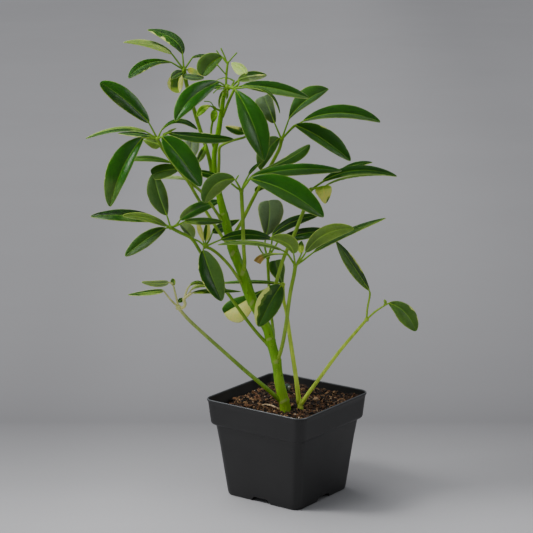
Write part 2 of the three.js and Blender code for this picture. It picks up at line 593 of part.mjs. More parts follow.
        widest: 0.6, blunt: 2.4 },
      { base: [196.5, 163, 13], mid: [202, 154, 11], tip: [205.6, 144.5, 7], left: [2.6, 0], right: [2.6, 0] },
      { base: [195, 172, 14], mid: [207, 173.4, 14], tip: [221, 178.5, 14], left: [2, -2], right: [3.4, 2] },
    ],
  },
  leaf_long_stalk: {
    width: 2.6,
    foot: 3.8,
    hub: 2.6,
    route: [[282.5, 403, 18], [272, 393.2, 20], [262, 384.6, 22], [244, 369.6, 24], [226, 353.6, 26], [208, 337.6, 28],
      [190, 321, 30], [181.2, 311.3, 31], [178.5, 307.5, 31]],
    twigs: [
      { width: 2.6, through: [[179, 308.8, 31], [183.2, 307.4, 31.5], [185.2, 304.2, 32], [184, 299.5, 32],
        [186.5, 296.6, 32], [191, 293.4, 31]] },
    ],
    leaflets: [
      { base: [168.3, 282.2, 32], mid: [156.5, 283.6, 35], tip: [141.5, 282, 38], left: [2.4, -2], right: [2.2, 2],
        from: [173.2, 284, 32], fullness: 0.55, widest: 0.42 },
      { base: [173.4, 285.5, 32], mid: [173, 281.6, 30], tip: [172.6, 278.4, 28], left: [1.7, 0], right: [1.7, 0],
        via: [[175.4, 294, 32]], fullness: 0.5 },
      { base: [163.4, 290.8, 33], mid: [147, 292.8, 40], tip: [128, 294.9, 44], left: [1.8, 4], right: [1.8, -4],
        via: [[170.5, 299.6, 32]], fullness: 0.6, widest: 0.4 },
      { base: [190, 285.4, 31], mid: [197.5, 282.4, 27], tip: [206.5, 285.5, 23], left: [1.2, -2], right: [1.3, 2],
        from: [184.2, 299, 32], via: [[187.2, 289.5, 31.5]] },
      { base: [191.5, 289.6, 30], mid: [199.5, 285.6, 24], tip: [209.5, 287.2, 19], left: [1.1, -2], right: [1.3, 2],
        from: [187.5, 296, 32] },
      { base: [192.5, 292.8, 30], mid: [213, 291, 20], tip: [240.8, 291.6, 12], left: [1.7, -3], right: [1.7, 3],
        from: [187.5, 296, 32] },
      { base: [183.2, 298.6, 31], mid: [180.4, 300.4, 29], tip: [177.8, 302, 27], left: [1.6, 0], right: [1.6, 0],
        from: [184, 299.5, 32] },
    ],
  },
};

// ---- Second small stem with two long-stalked leaves, standing in its own hole ----
const SIDE_STEM = [
  { spot: [301.8, 426, 17], width: 5.2 },
  { spot: [301, 412, 17], width: 5.2 },
  { spot: [300, 404, 17], width: 4.8 },
  { spot: [299.4, 399.5, 17], width: 4.2 },
];
const SIDE_LEAVES = {
  near_left: {
    width: 2.6,
    foot: 4,
    route: [[299, 403, 17], [296.2, 379, 17], [291.2, 346, 16], [288.6, 328, 15.5], [286.2, 311, 15], [283.8, 301, 16],
      [283, 284.5, 15]],
    leaflets: [
      { base: [281, 285.8, 19], mid: [270, 303, 30], tip: [258.4, 326.6, 36], left: [8.8, 2], right: [10.4, 2],
        fullness: 0.55 },
      { base: [279, 283.5, 12], mid: [250, 281.9, -8], tip: [217.5, 283.6, -25], left: [1, 3], right: [1.2, -3],
        fullness: 0.5 },
      { base: [283.6, 286.4, 9], mid: [279, 274, 3], tip: [275.4, 260.4, -4], left: [5, 1], right: [4.8, -1],
        widest: 0.66, blunt: 4.4 },
      { base: [263, 290.3, -2], mid: [243, 302.4, -16], tip: [224, 313.4, -18], left: [12.2, 3], right: [5.8, -2],
        via: [[275, 287.5, 8]], fullness: 0.6, widest: 0.68, blunt: 3 },
    ],
  },
  far_right: {
    width: 2.4,
    foot: 3.6,
    route: [[300.6, 405, 17], [308, 394, 18], [319, 379, 19], [339, 352, 20], [358, 329.5, 21], [366.7, 319.5, 22]],
    leaflets: [
      { base: [369, 290.2, 24], mid: [353, 265.8, 24], tip: [336.3, 241.4, 22], left: [5.2, 5], right: [4.2, -5],
        via: [[367.3, 309, 23], [369.9, 295, 24]] },
      { base: [388.6, 303.3, 26], mid: [404.8, 312.4, 31], tip: [415.9, 331.2, 35], left: [6.8, -2], right: [7.8, 3],
        via: [[376, 311, 24]], fullness: 0.6, widest: 0.58 },
      { base: [386.3, 303.8, 26], mid: [385.2, 301.6, 26], tip: [384.3, 299.3, 26], left: [0.9, 0], right: [0.9, 0],
        from: [384, 304.5, 25.5] },
    ],
  },
};

// ---- Materials ----
const group = new THREE.Group();
group.name = 'potted_umbrella_plant';

const BLACK_PLASTIC = new THREE.MeshStandardMaterial({ color: 0x242527, roughness: 0.5, metalness: 0 });
const PEAT = new THREE.MeshStandardMaterial({ color: 0x3a271c, roughness: 0.95, metalness: 0 });
const GREEN_BARK = new THREE.MeshStandardMaterial({ color: 0x5f8a22, roughness: 0.55, metalness: 0 });
const LEAF_GREEN = new THREE.MeshStandardMaterial({ color: 0x2b5a14, roughness: 0.35, metalness: 0 });
const DARK_GLASSY = new THREE.MeshStandardMaterial({ color: 0x1f3a34, roughness: 0.25, metalness: 0 });

function addNode(name, solid, material) {
  const geometry = geometryOf(solid);
  geometry.rotateZ(POT_TURN);
  geometry.computeVertexNormals();
  const mesh = new THREE.Mesh(geometry, material);
  mesh.name = name;
  group.add(mesh);
}

// ---- Pot, drawn turned so that the last turn in addNode brings its sides onto X and Y ----
function roundedSquare(side, corner, z) {
  const ring = [];
  const inner = side / 2 - corner;
  for (let quarter = 0; quarter < 4; quarter += 1) {
    for (let i = 0; i < POINTS_PER_CORNER; i += 1) {
      const angle = (Math.PI / 2) * (quarter + i / (POINTS_PER_CORNER - 1));
      const corners = [[1, 1], [-1, 1], [-1, -1], [1, -1]][quarter];
      const point = new THREE.Vector3(
        corners[0] * inner + corner * Math.cos(angle),
        corners[1] * inner + corner * Math.sin(angle),
        z,
      );
      ring.push(point.applyAxisAngle(new THREE.Vector3(0, 0, 1), -POT_TURN));
    }
  }
  return ring;
}

const bandBottom = POT_HEIGHT - BAND_HEIGHT;
// Each level of the walls: side of the square, radius of its corners, height.
const outsideWall = [
  [BASE_SIDE - 2.4, BASE_CORNER - 1, 0],
  [BASE_SIDE - 0.4, BASE_CORNER, 1.2],
  [BASE_SIDE + 0.6, BASE_CORNER, 4],
  [BODY_TOP_SIDE, RIM_CORNER - 1, bandBottom - 3],
  [BAND_BOTTOM_SIDE - 3.4, RIM_CORNER - 1, bandBottom - 2.4],
  [BAND_BOTTOM_SIDE - 0.8, RIM_CORNER, bandBottom - 1],
  [BAND_BOTTOM_SIDE, RIM_CORNER, bandBottom + 1],
  [RIM_SIDE - 2 * LIP_OVERHANG, RIM_CORNER, POT_HEIGHT - LIP_HEIGHT - 0.4],
  [RIM_SIDE, RIM_CORNER, POT_HEIGHT - LIP_HEIGHT],
  [RIM_SIDE, RIM_CORNER, POT_HEIGHT - 0.4],
  [RIM_SIDE - 0.8, RIM_CORNER, POT_HEIGHT],
];
const insideWall = [
  [RIM_SIDE - 2 * WALL, RIM_CORNER - WALL, POT_HEIGHT],
  [BAND_BOTTOM_SIDE - 2 * WALL - 0.4, RIM_CORNER - WALL, bandBottom + 2],
  [BODY_TOP_SIDE - 2 * WALL - 0.4, RIM_CORNER - WALL - 1, bandBottom - 4],
  [BASE_SIDE - 2 * WALL + 0.4, BASE_CORNER - WALL, FLOOR],
];
const potWalls = [...outsideWall, ...insideWall].map((level) => roundedSquare(...level));
const notches = [0, 1, 2, 3].map((quarter) => {
  const shape = new THREE.Shape();
  shape.moveTo(-NOTCH_WIDTH / 2, -1);
  shape.lineTo(NOTCH_WIDTH / 2, -1);
  shape.lineTo(NOTCH_WIDTH / 2, NOTCH_STEP);
  shape.lineTo(NOTCH_TOP_WIDTH / 2, NOTCH_HEIGHT);
  shape.lineTo(-NOTCH_TOP_WIDTH / 2, NOTCH_HEIGHT);
  shape.lineTo(-NOTCH_WIDTH / 2, NOTCH_STEP);
  shape.closePath();
  const bar = new THREE.ExtrudeGeometry(shape, { depth: NOTCH_DEPTH + CUT_OVERLAP, bevelEnabled: false });
  bar.rotateX(Math.PI / 2);
  bar.translate(0, BASE_SIDE / 2 + CUT_OVERLAP, 0);
  bar.rotateZ((Math.PI / 2) * quarter - POT_TURN);
  return solidOf(bar);
});
let pot = skinOverRings(potWalls);
notches.forEach((notch) => {
  pot = pot.subtract(notch);
});

// ---- Stems ----
const stemStations = MAIN_STEM.map((s) => ({ at: seen(s.spot), width: s.width }));
const mainStem = stalk(stemStations, STEM_SIDES);
const stemClearance = stalk(stemStations, STEM_SIDES, GAP);
const sideStations = SIDE_STEM.map((s) => ({ at: seen(s.spot), width: s.width }));
const sideStem = stalk(sideStations, SIDE_STEM_SIDES);
const sideClearance = stalk(sideStations, SIDE_STEM_SIDES, GAP);

// ---- Soil with chips of bark, holed for the two stems and hollowed under the bead ----
const soilHeight = (x, y) => SOIL_LEVEL + x * SOIL_RISE_RIGHT + y * SOIL_RISE_BACK;
const soilWall = [
  [BASE_SIDE - 2 * WALL + 0.4 - 2 * GAP, BASE_CORNER - WALL, FLOOR + GAP],
  [BODY_TOP_SIDE - 2 * WALL - 0.4 - 2 * GAP, RIM_CORNER - WALL - 1, bandBottom - 4],
  [BAND_BOTTOM_SIDE - 2 * WALL - 1 - 2 * GAP, RIM_CORNER - WALL, bandBottom + 2.4],
].map((level) => roundedSquare(...level));
const soilEdge = roundedSquare(RIM_SIDE - 2 * WALL - 4.6, RIM_CORNER - WALL, SOIL_LEVEL);
const soilRings = [...soilWall];
SOIL_RING_SHARES.forEach((share, level) => {
  soilRings.push(soilEdge.map((p) => new THREE.Vector3(
    p.x * share + (level ? spread(SOIL_RING_SHIFT) : 0),
    p.y * share + (level ? spread(SOIL_RING_SHIFT) : 0),
    soilHeight(p.x * share, p.y * share) + spread(SOIL_ROUGHNESS),
  )));
});
let soil = skinOverRings(soilRings);
for (let i = 0; i < CHIP_COUNT; i += 1) {
  const chip = new THREE.BoxGeometry(between(CHIP_LENGTH), between(CHIP_WIDTH), CHIP_HEIGHT);
  chip.rotateX(spread(CHIP_LEAN[0]));
  chip.rotateY(spread(CHIP_LEAN[1]));
  chip.rotateZ(random() * Math.PI);
  const angle = (i / CHIP_COUNT) * 2 * Math.PI + spread(0.2);
  const reach = between(CHIP_REACH);
  const spot = new THREE.Vector3(reach * Math.cos(angle), reach * Math.sin(angle), 0);
  chip.translate(spot.x, spot.y, soilHeight(spot.x, spot.y) + CHIP_HEIGHT / 2);
  soil = soil.add(solidOf(chip));
}
const beadCentre = seen(BEAD_SPOT);
const bead = new THREE.IcosahedronGeometry(BEAD_RADIUS, 1);
bead.translate(beadCentre.x, beadCentre.y, beadCentre.z);
const beadHollow = new THREE.IcosahedronGeometry(BEAD_RADIUS + GAP, 1);
beadHollow.translate(beadCentre.x, beadCentre.y, beadCentre.z);
soil = largestPiece(soil.subtract(solidOf(beadHollow)).subtract(stemClearance).subtract(sideClearance));

addNode('pot', pot, BLACK_PLASTIC);
addNode('soil', soil, PEAT);
addNode('bead', solidOf(bead), DARK_GLASSY);
addNode('main_stem', mainStem, GREEN_BARK);
for (const [name, leaf] of Object.entries(LEAVES)) {
  addNode(name, largestPiece(leafSolid(leaf).subtract(stemClearance)), LEAF_GREEN);
}
const sideShoot = joined([sideStem, ...Object.values(SIDE_LEAVES).map((leaf) => leafSolid(leaf))]);
addNode('side_shoot', sideShoot, LEAF_GREEN);

export default group;
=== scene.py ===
import math
import random

import bmesh
import bpy
from mathutils import Matrix, Vector, noise


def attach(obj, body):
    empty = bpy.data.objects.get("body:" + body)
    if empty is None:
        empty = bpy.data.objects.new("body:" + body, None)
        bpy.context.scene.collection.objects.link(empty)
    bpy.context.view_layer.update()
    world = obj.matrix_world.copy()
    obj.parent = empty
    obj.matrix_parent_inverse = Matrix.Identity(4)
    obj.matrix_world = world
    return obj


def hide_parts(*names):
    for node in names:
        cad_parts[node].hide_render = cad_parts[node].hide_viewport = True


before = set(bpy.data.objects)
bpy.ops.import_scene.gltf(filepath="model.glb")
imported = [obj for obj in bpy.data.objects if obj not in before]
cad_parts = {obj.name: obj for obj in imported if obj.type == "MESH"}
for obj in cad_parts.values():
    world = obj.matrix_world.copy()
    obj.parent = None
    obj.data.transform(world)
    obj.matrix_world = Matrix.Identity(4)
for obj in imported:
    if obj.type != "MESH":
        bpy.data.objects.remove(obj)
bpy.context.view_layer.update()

# All sizes are in millimetres until a mesh is made. Stems and leaves are placed where the
# photograph shows them: picture column, picture row, and millimetres in front of the pot's axis.
MM = 0.001
RANDOM_SEED = 411
random.seed(RANDOM_SEED)

# ---- View ----
VIEW_DISTANCE = 1800.0
VIEW_HEIGHT = 635.0
VIEW_SIDE = -17.5
VIEW_PITCH = math.radians(13.67)
VIEW_FOCAL_PX = 2220.0
VIEW_CENTRE_PX = 266.5
PICTURE_PX = 533.0
SENSOR_MM = 36.0
POT_TURN = math.radians(36.2)
ACROSS = Vector((1, 0, 0))
UPWARD = Vector((0, math.sin(VIEW_PITCH), math.cos(VIEW_PITCH)))
AHEAD = Vector((0, math.cos(VIEW_PITCH), -math.sin(VIEW_PITCH)))
TOWARD = -AHEAD
TURN = Matrix.Rotation(POT_TURN, 3, "Z")
UNTURN = Matrix.Rotation(-POT_TURN, 3, "Z")

# ---- Pot ----
POT_HEIGHT = 85.5
RIM_SIDE = 102.0
RIM_CORNER = 9.0
BASE_SIDE = 76.5
BASE_CORNER = 8.0
BAND_HEIGHT = 20.0
BAND_BOTTOM_SIDE = 97.5
BODY_TOP_SIDE = 90.5
LIP_HEIGHT = 1.6
FLOOR = 5.2
NOTCH_HALF_WIDTH = 9.5
NOTCH_TOP_HALF_WIDTH = 7.0
NOTCH_STEP = 0.8
NOTCH_HEIGHT = 4.0
NOTCH_DEPTH = 9.0
SHARP_EDGE = math.radians(40)

# ---- Soil ----
SOIL_LEVEL = 77.2
SOIL_RISE_RIGHT = 0.055
SOIL_RISE_BACK = 0.02
SOIL_INSET = 2.0
SOIL_CORNER = RIM_CORNER - 1.8
SOIL_BOTTOM_SIDE = BODY_TOP_SIDE - 5
SOIL_GRID = 110
HEAP_HEIGHT = 3.0
HEAP_X = -34.0
HEAP_Y = 8.0
HEAP_RADIUS = 16.0
BITS_INSET = 2.5
BARK_BITS = 3000
BARK_SIZES = (0.4, 0.5, 0.6, 0.8, 1.0, 1.3, 1.8)
PALE_BITS = 60
FIBRES = 170
FIBRE_WIDTH = 0.35
BEAD_RADIUS = 3.5
BEAD_SPOT = (286.8, 387.7, -34)

# ---- Stems and leaves ----
BLADE_HALF_THICKNESS = 0.26
BLADE_BASE_HALF_WIDTH = 0.6
BLADE_TIP_HALF_WIDTH = 0.2
BLADE_EDGE_THINNING = 0.6
BLADE_RINGS_PER_MM = 0.8
BLADE_RING_CROWDING = 0.7
BLADE_WAVE = 0.6
BLADE_WAVE_TURNS = 9
BLADE_WAVE_SHIFT = 2.4
BLADE_ARCH = 0.09
BLADE_QUILT = 0.14
BLADE_QUILT_SLANT = 0.9
BLADE_QUILT_PER_MM = 1.05
BLADE_RIPPLE = 0.35
# How far, as a share of its width, a half blade's edge wanders and is nicked.
EDGE_WANDER = 0.035
GREEN_EDGE_NICK = 0.035
PALE_EDGE_NICK = 0.07
# Where the columns of a half blade lie, from its edge to the midrib.
COLUMNS = (1.0, 0.93, 0.8, 0.63, 0.45, 0.28, 0.14, 0.055, 0.0)
RIB_WIDTH = 0.75
RIB_GROOVE = 0.32
RIB_RIDGE = 0.42
RIB_FADE = 0.6
REAR_GLOSS = 0.3
# A pale edge wider than this share of the half blade is unbroken.
BROAD_EDGE = 0.25
LEAFLET_STALK_WIDTH = 1.75
LEAFLET_STALK_ENDS = (1.25, 0.85, 0.5)
HUB_RADIUS = 2.1
KNUCKLE_SHARE = 0.92
KNUCKLE_LUMP = 0.12
CAP_BULGE = 0.2
STEM_SIDES = 36
SIDE_STEM_SIDES = 18
STALK_SIDES = 14
TWIG_SIDES = 10
# Each leaf and leaflet starts at its own place in the noise.
MAIN_SEED = 10.0
SIDE_SEED = 700.0
LEAF_SEED_STEP = 31.0
LEAFLET_SEED_STEP = 3.7


def colour(red, green, blue):
    """Linear colour from the usual 0 to 255 values."""
    def linear(value):
        value /= 255.0
        return value / 12.92 if value <= 0.04045 else ((value + 0.055) / 1.055) ** 2.4
    return (linear(red), linear(green), linear(blue), 1.0)


GLOSSY = colour(35, 98, 10)
NIGHT = colour(20, 56, 5)
DARK = colour(28, 78, 4)
MOSS = colour(48, 93, 28)
MEADOW = colour(50, 106, 28)
DULL = colour(54, 90, 42)
SAGE = colour(60, 93, 44)
FERN = colour(78, 117, 50)
ASH = colour(84, 106, 76)
SLATE = colour(62, 87, 53)
OLIVE = colour(95, 126, 60)
UNDER = colour(118, 151, 70)
DUSTY = colour(134, 158, 106)
WAX = colour(166, 196, 112)
PALE = colour(184, 212, 138)
LIME = colour(162, 192, 80)
YOUNG = colour(114, 164, 28)
CREAM = colour(232, 250, 138)
BROWN = colour(156, 128, 72)
STALK = colour(114, 164, 26)
STALK_PALE = colour(176, 208, 78)
STALK_LIGHT = colour(214, 244, 84)
STALK_CREAM = colour(222, 222, 144)
# Colours of a blade's lower side.
UNDERSIDES = (OLIVE, UNDER, DUSTY, WAX, PALE, LIME, CREAM)
# How glossy each of these is, from dull to glossy.
GLOSS = {GLOSSY: 1.0, NIGHT: 0.5, DARK: 0.8, MEADOW: 0.9, MOSS: 0.6, DULL: 0.35, SAGE: 0.3, FERN: 0.3,
         YOUNG: 0.5}


def leaflet(base, mid, tip, left, right, face, **more):
    """One leaflet. Its base, mid and tip lie on the midrib. left and right give each half of the
    blade, looking from base to tip, as millimetres across the view and toward the viewer.

    face is the colour toward the viewer, back the colour behind; left_face and right_face change
    one half. cream gives the width of the pale edge on the left and right half, as a share of the
    half blade, and span the part of the blade's length that it covers. paint lays soft patches over
    the face: start and end along the blade (0 to 1), low and high across it (-1 to 1, the left half
    is positive), colour. On a few glossy blades some lighter patches are painted highlights.

    widest says where along its length the blade is widest. A lower fullness makes it broader toward
    both ends, and blunt widens its tip by so many millimetres. start and via lead its own stalk,
    which otherwise runs straight from the hub."""
    usual = {"left_face": face, "right_face": face, "cream": (0, 0), "span": (0, 1), "paint": (),
             "gloss": GLOSS.get(face, 0.1), "widest": 0.5, "fullness": 0.75, "blunt": 0, "via": ()}
    shape = {"base": base, "mid": mid, "tip": tip, "left": left, "right": right, "face": face}
    return {**usual, **shape, **more}


def at_base(end, tint):
    """A patch over a leaflet's full width, from its base to this share of its length."""
    return (-0.1, end, -1.2, 1.2, tint)


def at_tip(start, tint):
    """A patch over a leaflet's full width, from this share of its length to its tip."""
    return (start, 1.1, -1.2, 1.2, tint)


def compound(width, route, leaflets, twigs=(), **more):
    """A compound leaf: a stalk of this width along its route to the hub, the leaflets that meet
    there, and thin twigs as (width, route)."""
    return {"width": width, "route": route, "leaflets": leaflets, "twigs": twigs, **more}


# Each station of a stem: column, row, millimetres toward the viewer, width.
MAIN_STEM = [
    (289, 436, 20, 9.2), (287.5, 424, 19, 9.4), (285.8, 411, 18, 9.4), (284.2, 402, 17.5, 9),
    (281.2, 390, 17, 8.7), (279, 380, 16, 8.3), (277.6, 370, 15, 8), (276.2, 360.5, 14, 8.6),
    (273.2, 350, 13, 8), (270.3, 340, 12, 8.4), (267.8, 330, 11, 8.4), (263, 321, 10, 8.3),
    (257, 310, 9, 8.4), (252, 300, 8, 9), (248.1, 290, 7, 9.4), (245, 280, 6, 9.4), (241.5, 270, 5, 9),
    (237, 260, 4, 8.4), (233.6, 250.5, 3, 9), (230.5, 240, 2.5, 8.6), (228, 231, 2, 7.6),
    (225.3, 220, 1.5, 7.6), (222.8, 210, 1, 6.5), (220.4, 200, 0.5, 5.8), (217.5, 188, 0, 5.4),
    (214.6, 173, 0, 4.8), (214.2, 161, 0, 4.3), (214.8, 150, 0, 4.3), (218.2, 133, 0, 4.6),
    (221, 115, 0.5, 4), (223.4, 99, 1, 3.3), (225, 93, 1.5, 3.2),
]
LEAVES = {
    "leaf_top_left": compound(3.4, [
        (212.2, 172, -1), (209.5, 160, -3), (206, 147, -5), (200.5, 131, -8), (193.5, 108, -12),
        (187, 86, -14), (184, 70, -14),
    ], [
        leaflet((182.5, 54, -18), (172.2, 38.9, -26), (147.5, 29.8, -38), (4.8, 6), (5, -6), DULL,
                left_face=MOSS, cream=(0.25, 0), span=(0.4, 1)),
        leaflet((171.5, 53.5, -16), (148.5, 44.3, -14), (123.5, 42.4, -12), (1.8, -6), (2.6, 5), WAX,
                widest=0.42, right_face=PALE, paint=[(-0.1, 0.45, -1.2, -0.45, SAGE)]),
        leaflet((171.5, 62.5, -12), (147.5, 64, -2), (128.6, 78.2, 6), (4.6, 6), (4.6, -5), DULL,
                widest=0.66, fullness=0.65, right_face=DARK, cream=(0.1, 0)),
        leaflet((192.5, 57.5, -20), (203, 55.5, -32), (215, 58, -44), (1.2, -5), (1.6, 4), SAGE),
        leaflet((187.5, 69.6, -14), (194.5, 71.9, -16), (204.5, 76, -18), (1.8, 5), (1.8, -5), CREAM,
                widest=0.36, cream=(0.3, 0), paint=[(0.4, 0.7, -1.2, 1.2, PALE)]),
        leaflet((181.5, 74.5, -12), (178.3, 83.5, -6), (179.5, 92.8, 0), (3.8, 1), (8.6, 1), FERN,
                fullness=0.6, left_face=CREAM, cream=(0, 0.2), gloss=0.2,
                paint=[(0.75, 1.1, -1.2, 0, LIME)]),
        leaflet((182.8, 75.6, -8), (192.6, 77.4, 2), (204, 77.8, 4), (2.6, -5), (2.7, 5), SLATE,
                fullness=0.5, gloss=0.1),
        leaflet((182.6, 72.2, -8), (177.2, 74.2, -2), (170.8, 78.8, 4), (2.6, 3), (3.5, -3), SAGE,
                fullness=0.5, right_face=SLATE, cream=(0, 0.1), gloss=0.1),
    ]),
    "crown": compound(3.2, [
        (225, 92.5, 1.5), (226, 90, 2), (227.5, 87.5, 2),
    ], [
        leaflet((222.3, 57, -4), (210, 64.4, -1), (203, 75.6, 5), (4.8, 3), (8.8, 2), FERN,
                start=(227.6, 63.8, -2), via=[(224.6, 60, -3)], widest=0.55, fullness=0.52, blunt=1.2,
                gloss=0.3),
        # painted highlight: the lighter green toward this glossy leaflet's tip
        leaflet((219, 82, 5), (192.5, 97.3, 24), (175.3, 121.6, 34), (7, 3), (8.8, -1), GLOSSY,
                paint=[at_tip(0.72, MEADOW)]),
        leaflet((235.5, 90, 10), (252.5, 122.5, 26), (264, 161, 32), (11, 3), (9.4, 5), GLOSSY,
                start=(235, 88.5, 7), widest=0.54, right_face=MEADOW),
        leaflet((243, 85.6, 6), (275, 88.7, 13), (309, 98.2, 14), (5.8, -6), (4.8, 6), DARK,
                start=(235, 88.5, 7), fullness=0.65, right_face=FERN, cream=(0.14, 0), span=(0.36, 0.44),
                gloss=0.8),
        leaflet((246, 87.5, 12), (268.5, 92.6, 25), (279.9, 113.5, 32), (1, -4), (1, 3), SAGE,
                start=(235, 88.5, 7), right_face=DARK),
        leaflet((246.4, 74.2, -9), (240.6, 67.6, -17), (231.4, 63, -28), (5.6, 0), (2.6, 2), WAX,
                start=(231, 87.5, 4), via=[(238.4, 80.4, -4)], widest=0.45, fullness=0.6),
        leaflet((238.4, 80.2, 0), (251.2, 76.6, -8), (266.8, 75.3, -24), (4.6, -5), (3.8, 4), DUSTY,
                start=(234, 88, 6), via=[(238.5, 84, 4)], fullness=0.6,
                paint=[at_base(0.4, OLIVE), (0.42, 1.1, 0.3, 1.2, MOSS),
                       (0.7, 0.92, -0.1, 0.25, CREAM)]),
        leaflet((234, 81, -6), (225.5, 78.3, -16), (216.6, 80.4, -24), (0.4, 4), (0.4, -4), SAGE,
                start=(231, 87.5, 4), cream=(0.1, 0.1)),
        leaflet((222, 86.5, 0), (217, 86.8, -7), (211.5, 88.8, -14), (1.4, 2), (1.8, -2), DARK),
        leaflet((222.7, 91, 6), (220, 99.5, 7), (219.2, 108, 8), (0.5, 1), (0.9, 1), MOSS,
                start=(226, 89, 2), cream=(0.3, 0)),
        leaflet((227.5, 90.5, 5), (227.4, 95, 6), (226.5, 99.5, 6), (0.6, 0), (0.6, 0), FERN),
    ], twigs=[
        (2.4, [(222.6, 117, 1), (228, 103, 5), (233, 92, 7), (235, 88.5, 7)]),
        (3, [(227, 88, 2), (231, 87.5, 4), (235, 88.5, 7)]),
        (2, [(226, 87, 2), (226.4, 75, 0), (227.6, 64, -2), (227.9, 61.5, -2)]),
        (1.2, [(226.3, 75, 0), (221, 69, 1), (216.8, 64.3, 2)]),
        (1.3, [(227.6, 64.5, -2), (224.5, 56, -3), (220.8, 48.2, -4)]),
        (1.2, [(227.7, 63.5, -2), (232, 58, -6), (236.8, 52.8, -10)]),
        (1.1, [(222.3, 57, -4), (220, 55.3, -5), (216.3, 50.3, -6)]),
        (1, [(224, 88.7, 3), (217.5, 89.4, 5), (213.2, 93.2, 7)]),
    ], hub=3),
    "young_leaf": compound(1.6, [
        (220.4, 110.6, 2), (217, 109.3, 4), (214.3, 107.8, 5),
    ], [
        leaflet((210.5, 106, 7), (203.2, 109, 10), (197, 116.8, 13), (2.6, 1), (2.8, 0), YOUNG, widest=0.6,
                paint=[at_base(0.4, LIME)]),
        leaflet((214.4, 109.5, 6), (214, 115.2, 8), (212.4, 123.2, 8), (2.7, 1), (2.6, 1), YOUNG),
    ], twigs=[
        (0.9, [(214.3, 107.8, 5), (210.5, 102.2, 8), (204, 101.2, 12)]),
        (2, [(212.7, 121, 8), (211.2, 130, 4), (211.8, 140, 2), (214.2, 149, 0)]),
    ], hub=1.5),
    "leaf_upper_right": compound(3, [
        (231.5, 239, 3), (237, 229.5, 2), (243, 219, 0), (256, 193, -6), (275, 157.5, -14),
        (279.6, 148, -13), (281.6, 139.5, -10),
    ], [
        leaflet((289, 119, -12), (305.4, 101.2, -16), (328.6, 89.2, -24), (9.4, -4), (4.2, 4), DULL,
                widest=0.6, left_face=MOSS),
        leaflet((303.5, 121, -8), (341, 113.3, -6), (380.3, 122.2, -2), (7.4, -6), (4, 6), DARK,
                via=[(292.5, 128, -9)], widest=0.55, fullness=0.65, right_face=SAGE),
        leaflet((294.6, 125.2, 0), (321, 138.2, 8), (350.5, 161, 16), (9.6, -2), (5, 5), DARK,
                via=[(288, 132, -5)], widest=0.55, fullness=0.65, right_face=MOSS, cream=(0.06, 0),
                span=(0.3, 0.6)),
        leaflet((274.6, 123, -13), (268.3, 107, -20), (263.8, 96.2, -28), (7.4, 2), (4, -2),
                colour(99, 125, 90), fullness=0.55, blunt=6, gloss=0.1,
                paint=[at_base(0.3, SAGE)]),
        leaflet((279.2, 138.4, -9), (268.5, 150, 0), (260.3, 170, 6), (4.8, 3), (8.4, -2), FERN,
                fullness=0.65, left_face=MOSS),
        leaflet((256.6, 193, -6), (258.6, 188.3, -7), (269, 187, -9), (1.8, 1), (2.2, -1), MOSS,
                start=(256, 193.5, -6)),
    ]),
    "leaf_centre": compound(3.2, [
        (243.8, 272, 6), (244.6, 262, 13), (243.8, 250, 21), (243.2, 235, 27), (242.8, 218, 29),
        (242, 204, 29), (241.4, 191, 28),
    ], [
        leaflet((250.5, 179, 31), (287, 191.5, 42), (323.6, 217.2, 50), (11.4, 1), (7.4, 4), GLOSSY,
                via=[(246.5, 184, 30)], widest=0.55, fullness=0.65, right_face=MOSS, gloss=1),
        leaflet((252.5, 176.5, 25), (296, 169.3, 15), (341.6, 170.8, 6), (4.6, -6), (5, 6), GLOSSY,
                via=[(247, 182.5, 28)], fullness=0.62, right_face=MOSS, cream=(0.08, 0), span=(0.35, 0.75)),
        leaflet((262, 170, 12), (289, 158.8, 3), (309.7, 144.6, -5), (3, -4), (5.4, 4), MOSS,
                via=[(247, 182, 26), (253, 175.5, 18)], widest=0.66, fullness=0.6, left_face=FERN,
                cream=(0.08, 0)),
        leaflet((249, 174.5, 20), (254, 168, 17), (263, 161, 13), (1.2, -3), (1.2, 3), DARK,
                via=[(244.5, 183, 24)]),
        leaflet((234.5, 179.3, 31), (216, 184.3, 34), (204.3, 203, 36), (7.4, 2), (8, -2), FERN,
                via=[(237.5, 183.5, 30)], widest=0.55, fullness=0.55, left_face=OLIVE, gloss=0.15),
    ], twigs=[
        (1.3, [(235.5, 180.5, 31), (237, 177.8, 31), (238.6, 175.3, 31)]),
        (1.8, [(241.4, 191, 28), (237, 188, 27), (231.5, 183.6, 27)]),
    ]),
    "leaf_right": compound(3.1, [
        (265.5, 320, 9), (270.5, 303, 13), (276, 283, 15), (284, 257, 15), (294, 235, 12), (303.5, 211, 4),
        (311, 189.5, -4),
    ], [
        leaflet((323, 181.2, -8), (357.5, 170.6, -12), (396.8, 176.3, -12), (4.4, -6), (3.4, 6), DARK,
                fullness=0.6, paint=[(0.3, 1.1, -1.2, -0.72, FERN)]),
        leaflet((338, 172.4, -18), (355.5, 165, -25), (372.3, 162.4, -32), (2.2, -4), (2.2, 4), DARK,
                start=(311, 189.5, -4), cream=(0, 0.12)),
        leaflet((323, 186.3, -4), (324.3, 193.6, 0), (325.2, 203.7, 4), (6.4, 2), (6.6, -2), CREAM,
                widest=0.25, fullness=0.6, back=DULL,
                paint=[at_base(0.25, LIME), (0.7, 1.1, 0.5, 1.2, MOSS)]),
        leaflet((325.8, 185.8, 0), (350, 176.9, 4), (386, 175.3, 4), (0.5, -3), (0.6, 4), OLIVE,
                left_face=FERN),
    ]),
    "leaf_front": compound(3.2, [
        (277, 362, 15), (280.5, 352, 19), (283.6, 339, 22), (287, 318, 26), (288.4, 306, 27),
        (291, 289, 28), (294, 275, 28), (295.3, 266, 28),
    ], [
        leaflet((306, 252, 31), (326, 233.8, 36), (353.8, 228.6, 40), (6, 4), (6.2, -3), UNDER,
